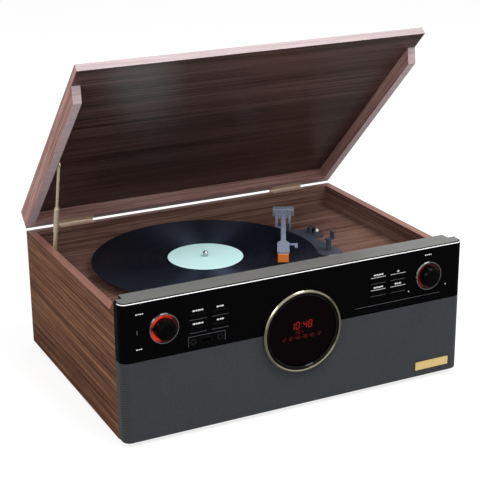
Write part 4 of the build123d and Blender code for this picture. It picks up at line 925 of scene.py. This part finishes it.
def place_camera(studio):
    """The camera, from its heading, tilt and roll."""
    a, e, r = studio.heading, studio.tilt, studio.roll
    ahead = Vector((math.sin(a) * math.cos(e), math.cos(a) * math.cos(e), -math.sin(e)))
    right = Vector((math.cos(a), -math.sin(a), 0))
    up = right.cross(ahead)
    turned_right = right * math.cos(r) + up * math.sin(r)
    turned_up = up * math.cos(r) - right * math.sin(r)
    lens = bpy.data.cameras.new("camera")
    lens.lens = studio.focal
    lens.sensor_width = 36.0
    lens.shift_x = studio.shift_right
    lens.shift_y = studio.shift_up
    lens.clip_end = 50.0
    made = bpy.data.objects.new("camera", lens)
    basis = Matrix((turned_right, turned_up, -ahead)).transposed().to_4x4()
    made.matrix_world = Matrix.Translation(studio.spot) @ basis
    bpy.context.scene.collection.objects.link(made)
    bpy.context.scene.camera = made


def pale_floor(studio):
    """A floor that looks like the white backdrop and keeps the object's shadow."""
    made = bpy.data.materials.new("white studio paper")
    made.use_nodes = True
    tree = made.node_tree
    tree.nodes.clear()
    path = add(tree, "ShaderNodeLightPath")
    seen = add(tree, "ShaderNodeMath", {"operation": "MAXIMUM"}, {
        0: path.outputs["Is Camera Ray"], 1: path.outputs["Is Transmission Ray"]})
    share = add(tree, "ShaderNodeMath", {"operation": "MULTIPLY"}, {
        0: seen.outputs[0], 1: studio.floor_share})
    shade = add(tree, "ShaderNodeMix", {"data_type": "RGBA"}, {
        0: path.outputs["Is Glossy Ray"], 6: studio.backdrop, 7: studio.floor_sheen})
    paper = add(tree, "ShaderNodeBsdfDiffuse", None, {"Color": shade.outputs[2]})
    white = add(tree, "ShaderNodeEmission", None, {"Color": studio.backdrop, "Strength": studio.floor_white})
    mixed = add(tree, "ShaderNodeMixShader", None, {
        0: share.outputs[0], 1: paper.outputs[0], 2: white.outputs[0]})
    add(tree, "ShaderNodeOutputMaterial", None, {"Surface": mixed.outputs[0]})
    return made


def room(studio):
    """An even room: white to the camera, a plain grey in reflections, and a soft light on everything."""
    world = bpy.data.worlds.new("studio room")
    bpy.context.scene.world = world
    world.use_nodes = True
    tree = world.node_tree
    tree.nodes.clear()
    path = add(tree, "ShaderNodeLightPath")
    even = add(tree, "ShaderNodeBackground", None, {"Color": studio.backdrop, "Strength": studio.room_light})
    sheen = add(tree, "ShaderNodeBackground", None, {"Color": studio.backdrop, "Strength": studio.room_sheen})
    white = add(tree, "ShaderNodeBackground", None, {"Color": studio.backdrop,
                                                     "Strength": studio.backdrop_white})
    lit = add(tree, "ShaderNodeMixShader", None, {
        0: path.outputs["Is Glossy Ray"], 1: even.outputs[0], 2: sheen.outputs[0]})
    mixed = add(tree, "ShaderNodeMixShader", None, {
        0: path.outputs["Is Camera Ray"], 1: lit.outputs[0], 2: white.outputs[0]})
    add(tree, "ShaderNodeOutputWorld", None, {"Surface": mixed.outputs[0]})


class CENTRE_OT_stage(bpy.types.Operator):
    """Lay the floor, hang the lamps and place the camera"""

    bl_idname = "centre.stage"
    bl_label = "Studio"

    def execute(self, context):
        studio = context.scene.centre_studio

        def ground(work):
            reach = 6.0  # metres from the object, past the picture's edge
            corners = [(-reach, -reach, 0), (reach, -reach, 0), (reach, reach, 0), (-reach, reach, 0)]
            work.faces.new([work.verts.new(c) for c in corners])

        mesh = mesh_from("floor", ground)
        mesh.materials.append(pale_floor(studio))
        floor = bpy.data.objects.new("floor", mesh)
        context.scene.collection.objects.link(floor)
        room(studio)
        front_face = (0.0, 0.0, 0.15)
        record_face = (0.0, 0.05, 0.15)
        soft_lamp("key lamp", studio.key_spot, front_face, (1.2, 1.2), studio.key_power)
        soft_lamp("top lamp", studio.top_spot, record_face, (1.2, 1.0), studio.top_power)
        place_camera(studio)
        context.scene.view_settings.view_transform = "Standard"
        return {"FINISHED"}


STEPS = ("cabinet", "lid", "front", "display", "controls", "sockets", "brass", "record", "tonearm", "stage")


class CENTRE_PT_panel(bpy.types.Panel):
    """Sidebar panel with one button for each step"""

    bl_idname = "CENTRE_PT_panel"
    bl_label = "Music Centre"
    bl_space_type = "VIEW_3D"
    bl_region_type = "UI"
    bl_category = "Music Centre"

    def draw(self, context):
        column = self.layout.column()
        for step in STEPS:
            column.operator("centre." + step)
        for group in ("centre_wood", "centre_front", "centre_deck", "centre_studio"):
            settings = getattr(context.scene, group)
            box = self.layout.box()
            for key in settings.__annotations__:
                box.prop(settings, key)


CLASSES = (
    WoodSettings, FrontSettings, DeckSettings, StudioSettings,
    CENTRE_OT_cabinet, CENTRE_OT_lid, CENTRE_OT_front, CENTRE_OT_display, CENTRE_OT_controls,
    CENTRE_OT_sockets, CENTRE_OT_brass, CENTRE_OT_record, CENTRE_OT_tonearm, CENTRE_OT_stage,
    CENTRE_PT_panel,
)


def register():
    for item in CLASSES:
        bpy.utils.register_class(item)
    bpy.types.Scene.centre_wood = PointerProperty(type=WoodSettings)
    bpy.types.Scene.centre_front = PointerProperty(type=FrontSettings)
    bpy.types.Scene.centre_deck = PointerProperty(type=DeckSettings)
    bpy.types.Scene.centre_studio = PointerProperty(type=StudioSettings)


def unregister():
    for group in ("centre_wood", "centre_front", "centre_deck", "centre_studio"):
        delattr(bpy.types.Scene, group)
    for item in reversed(CLASSES):
        bpy.utils.unregister_class(item)


def main():
    register()
    for step in STEPS:
        getattr(bpy.ops.centre, step)()


if __name__ == "__main__":
    main()
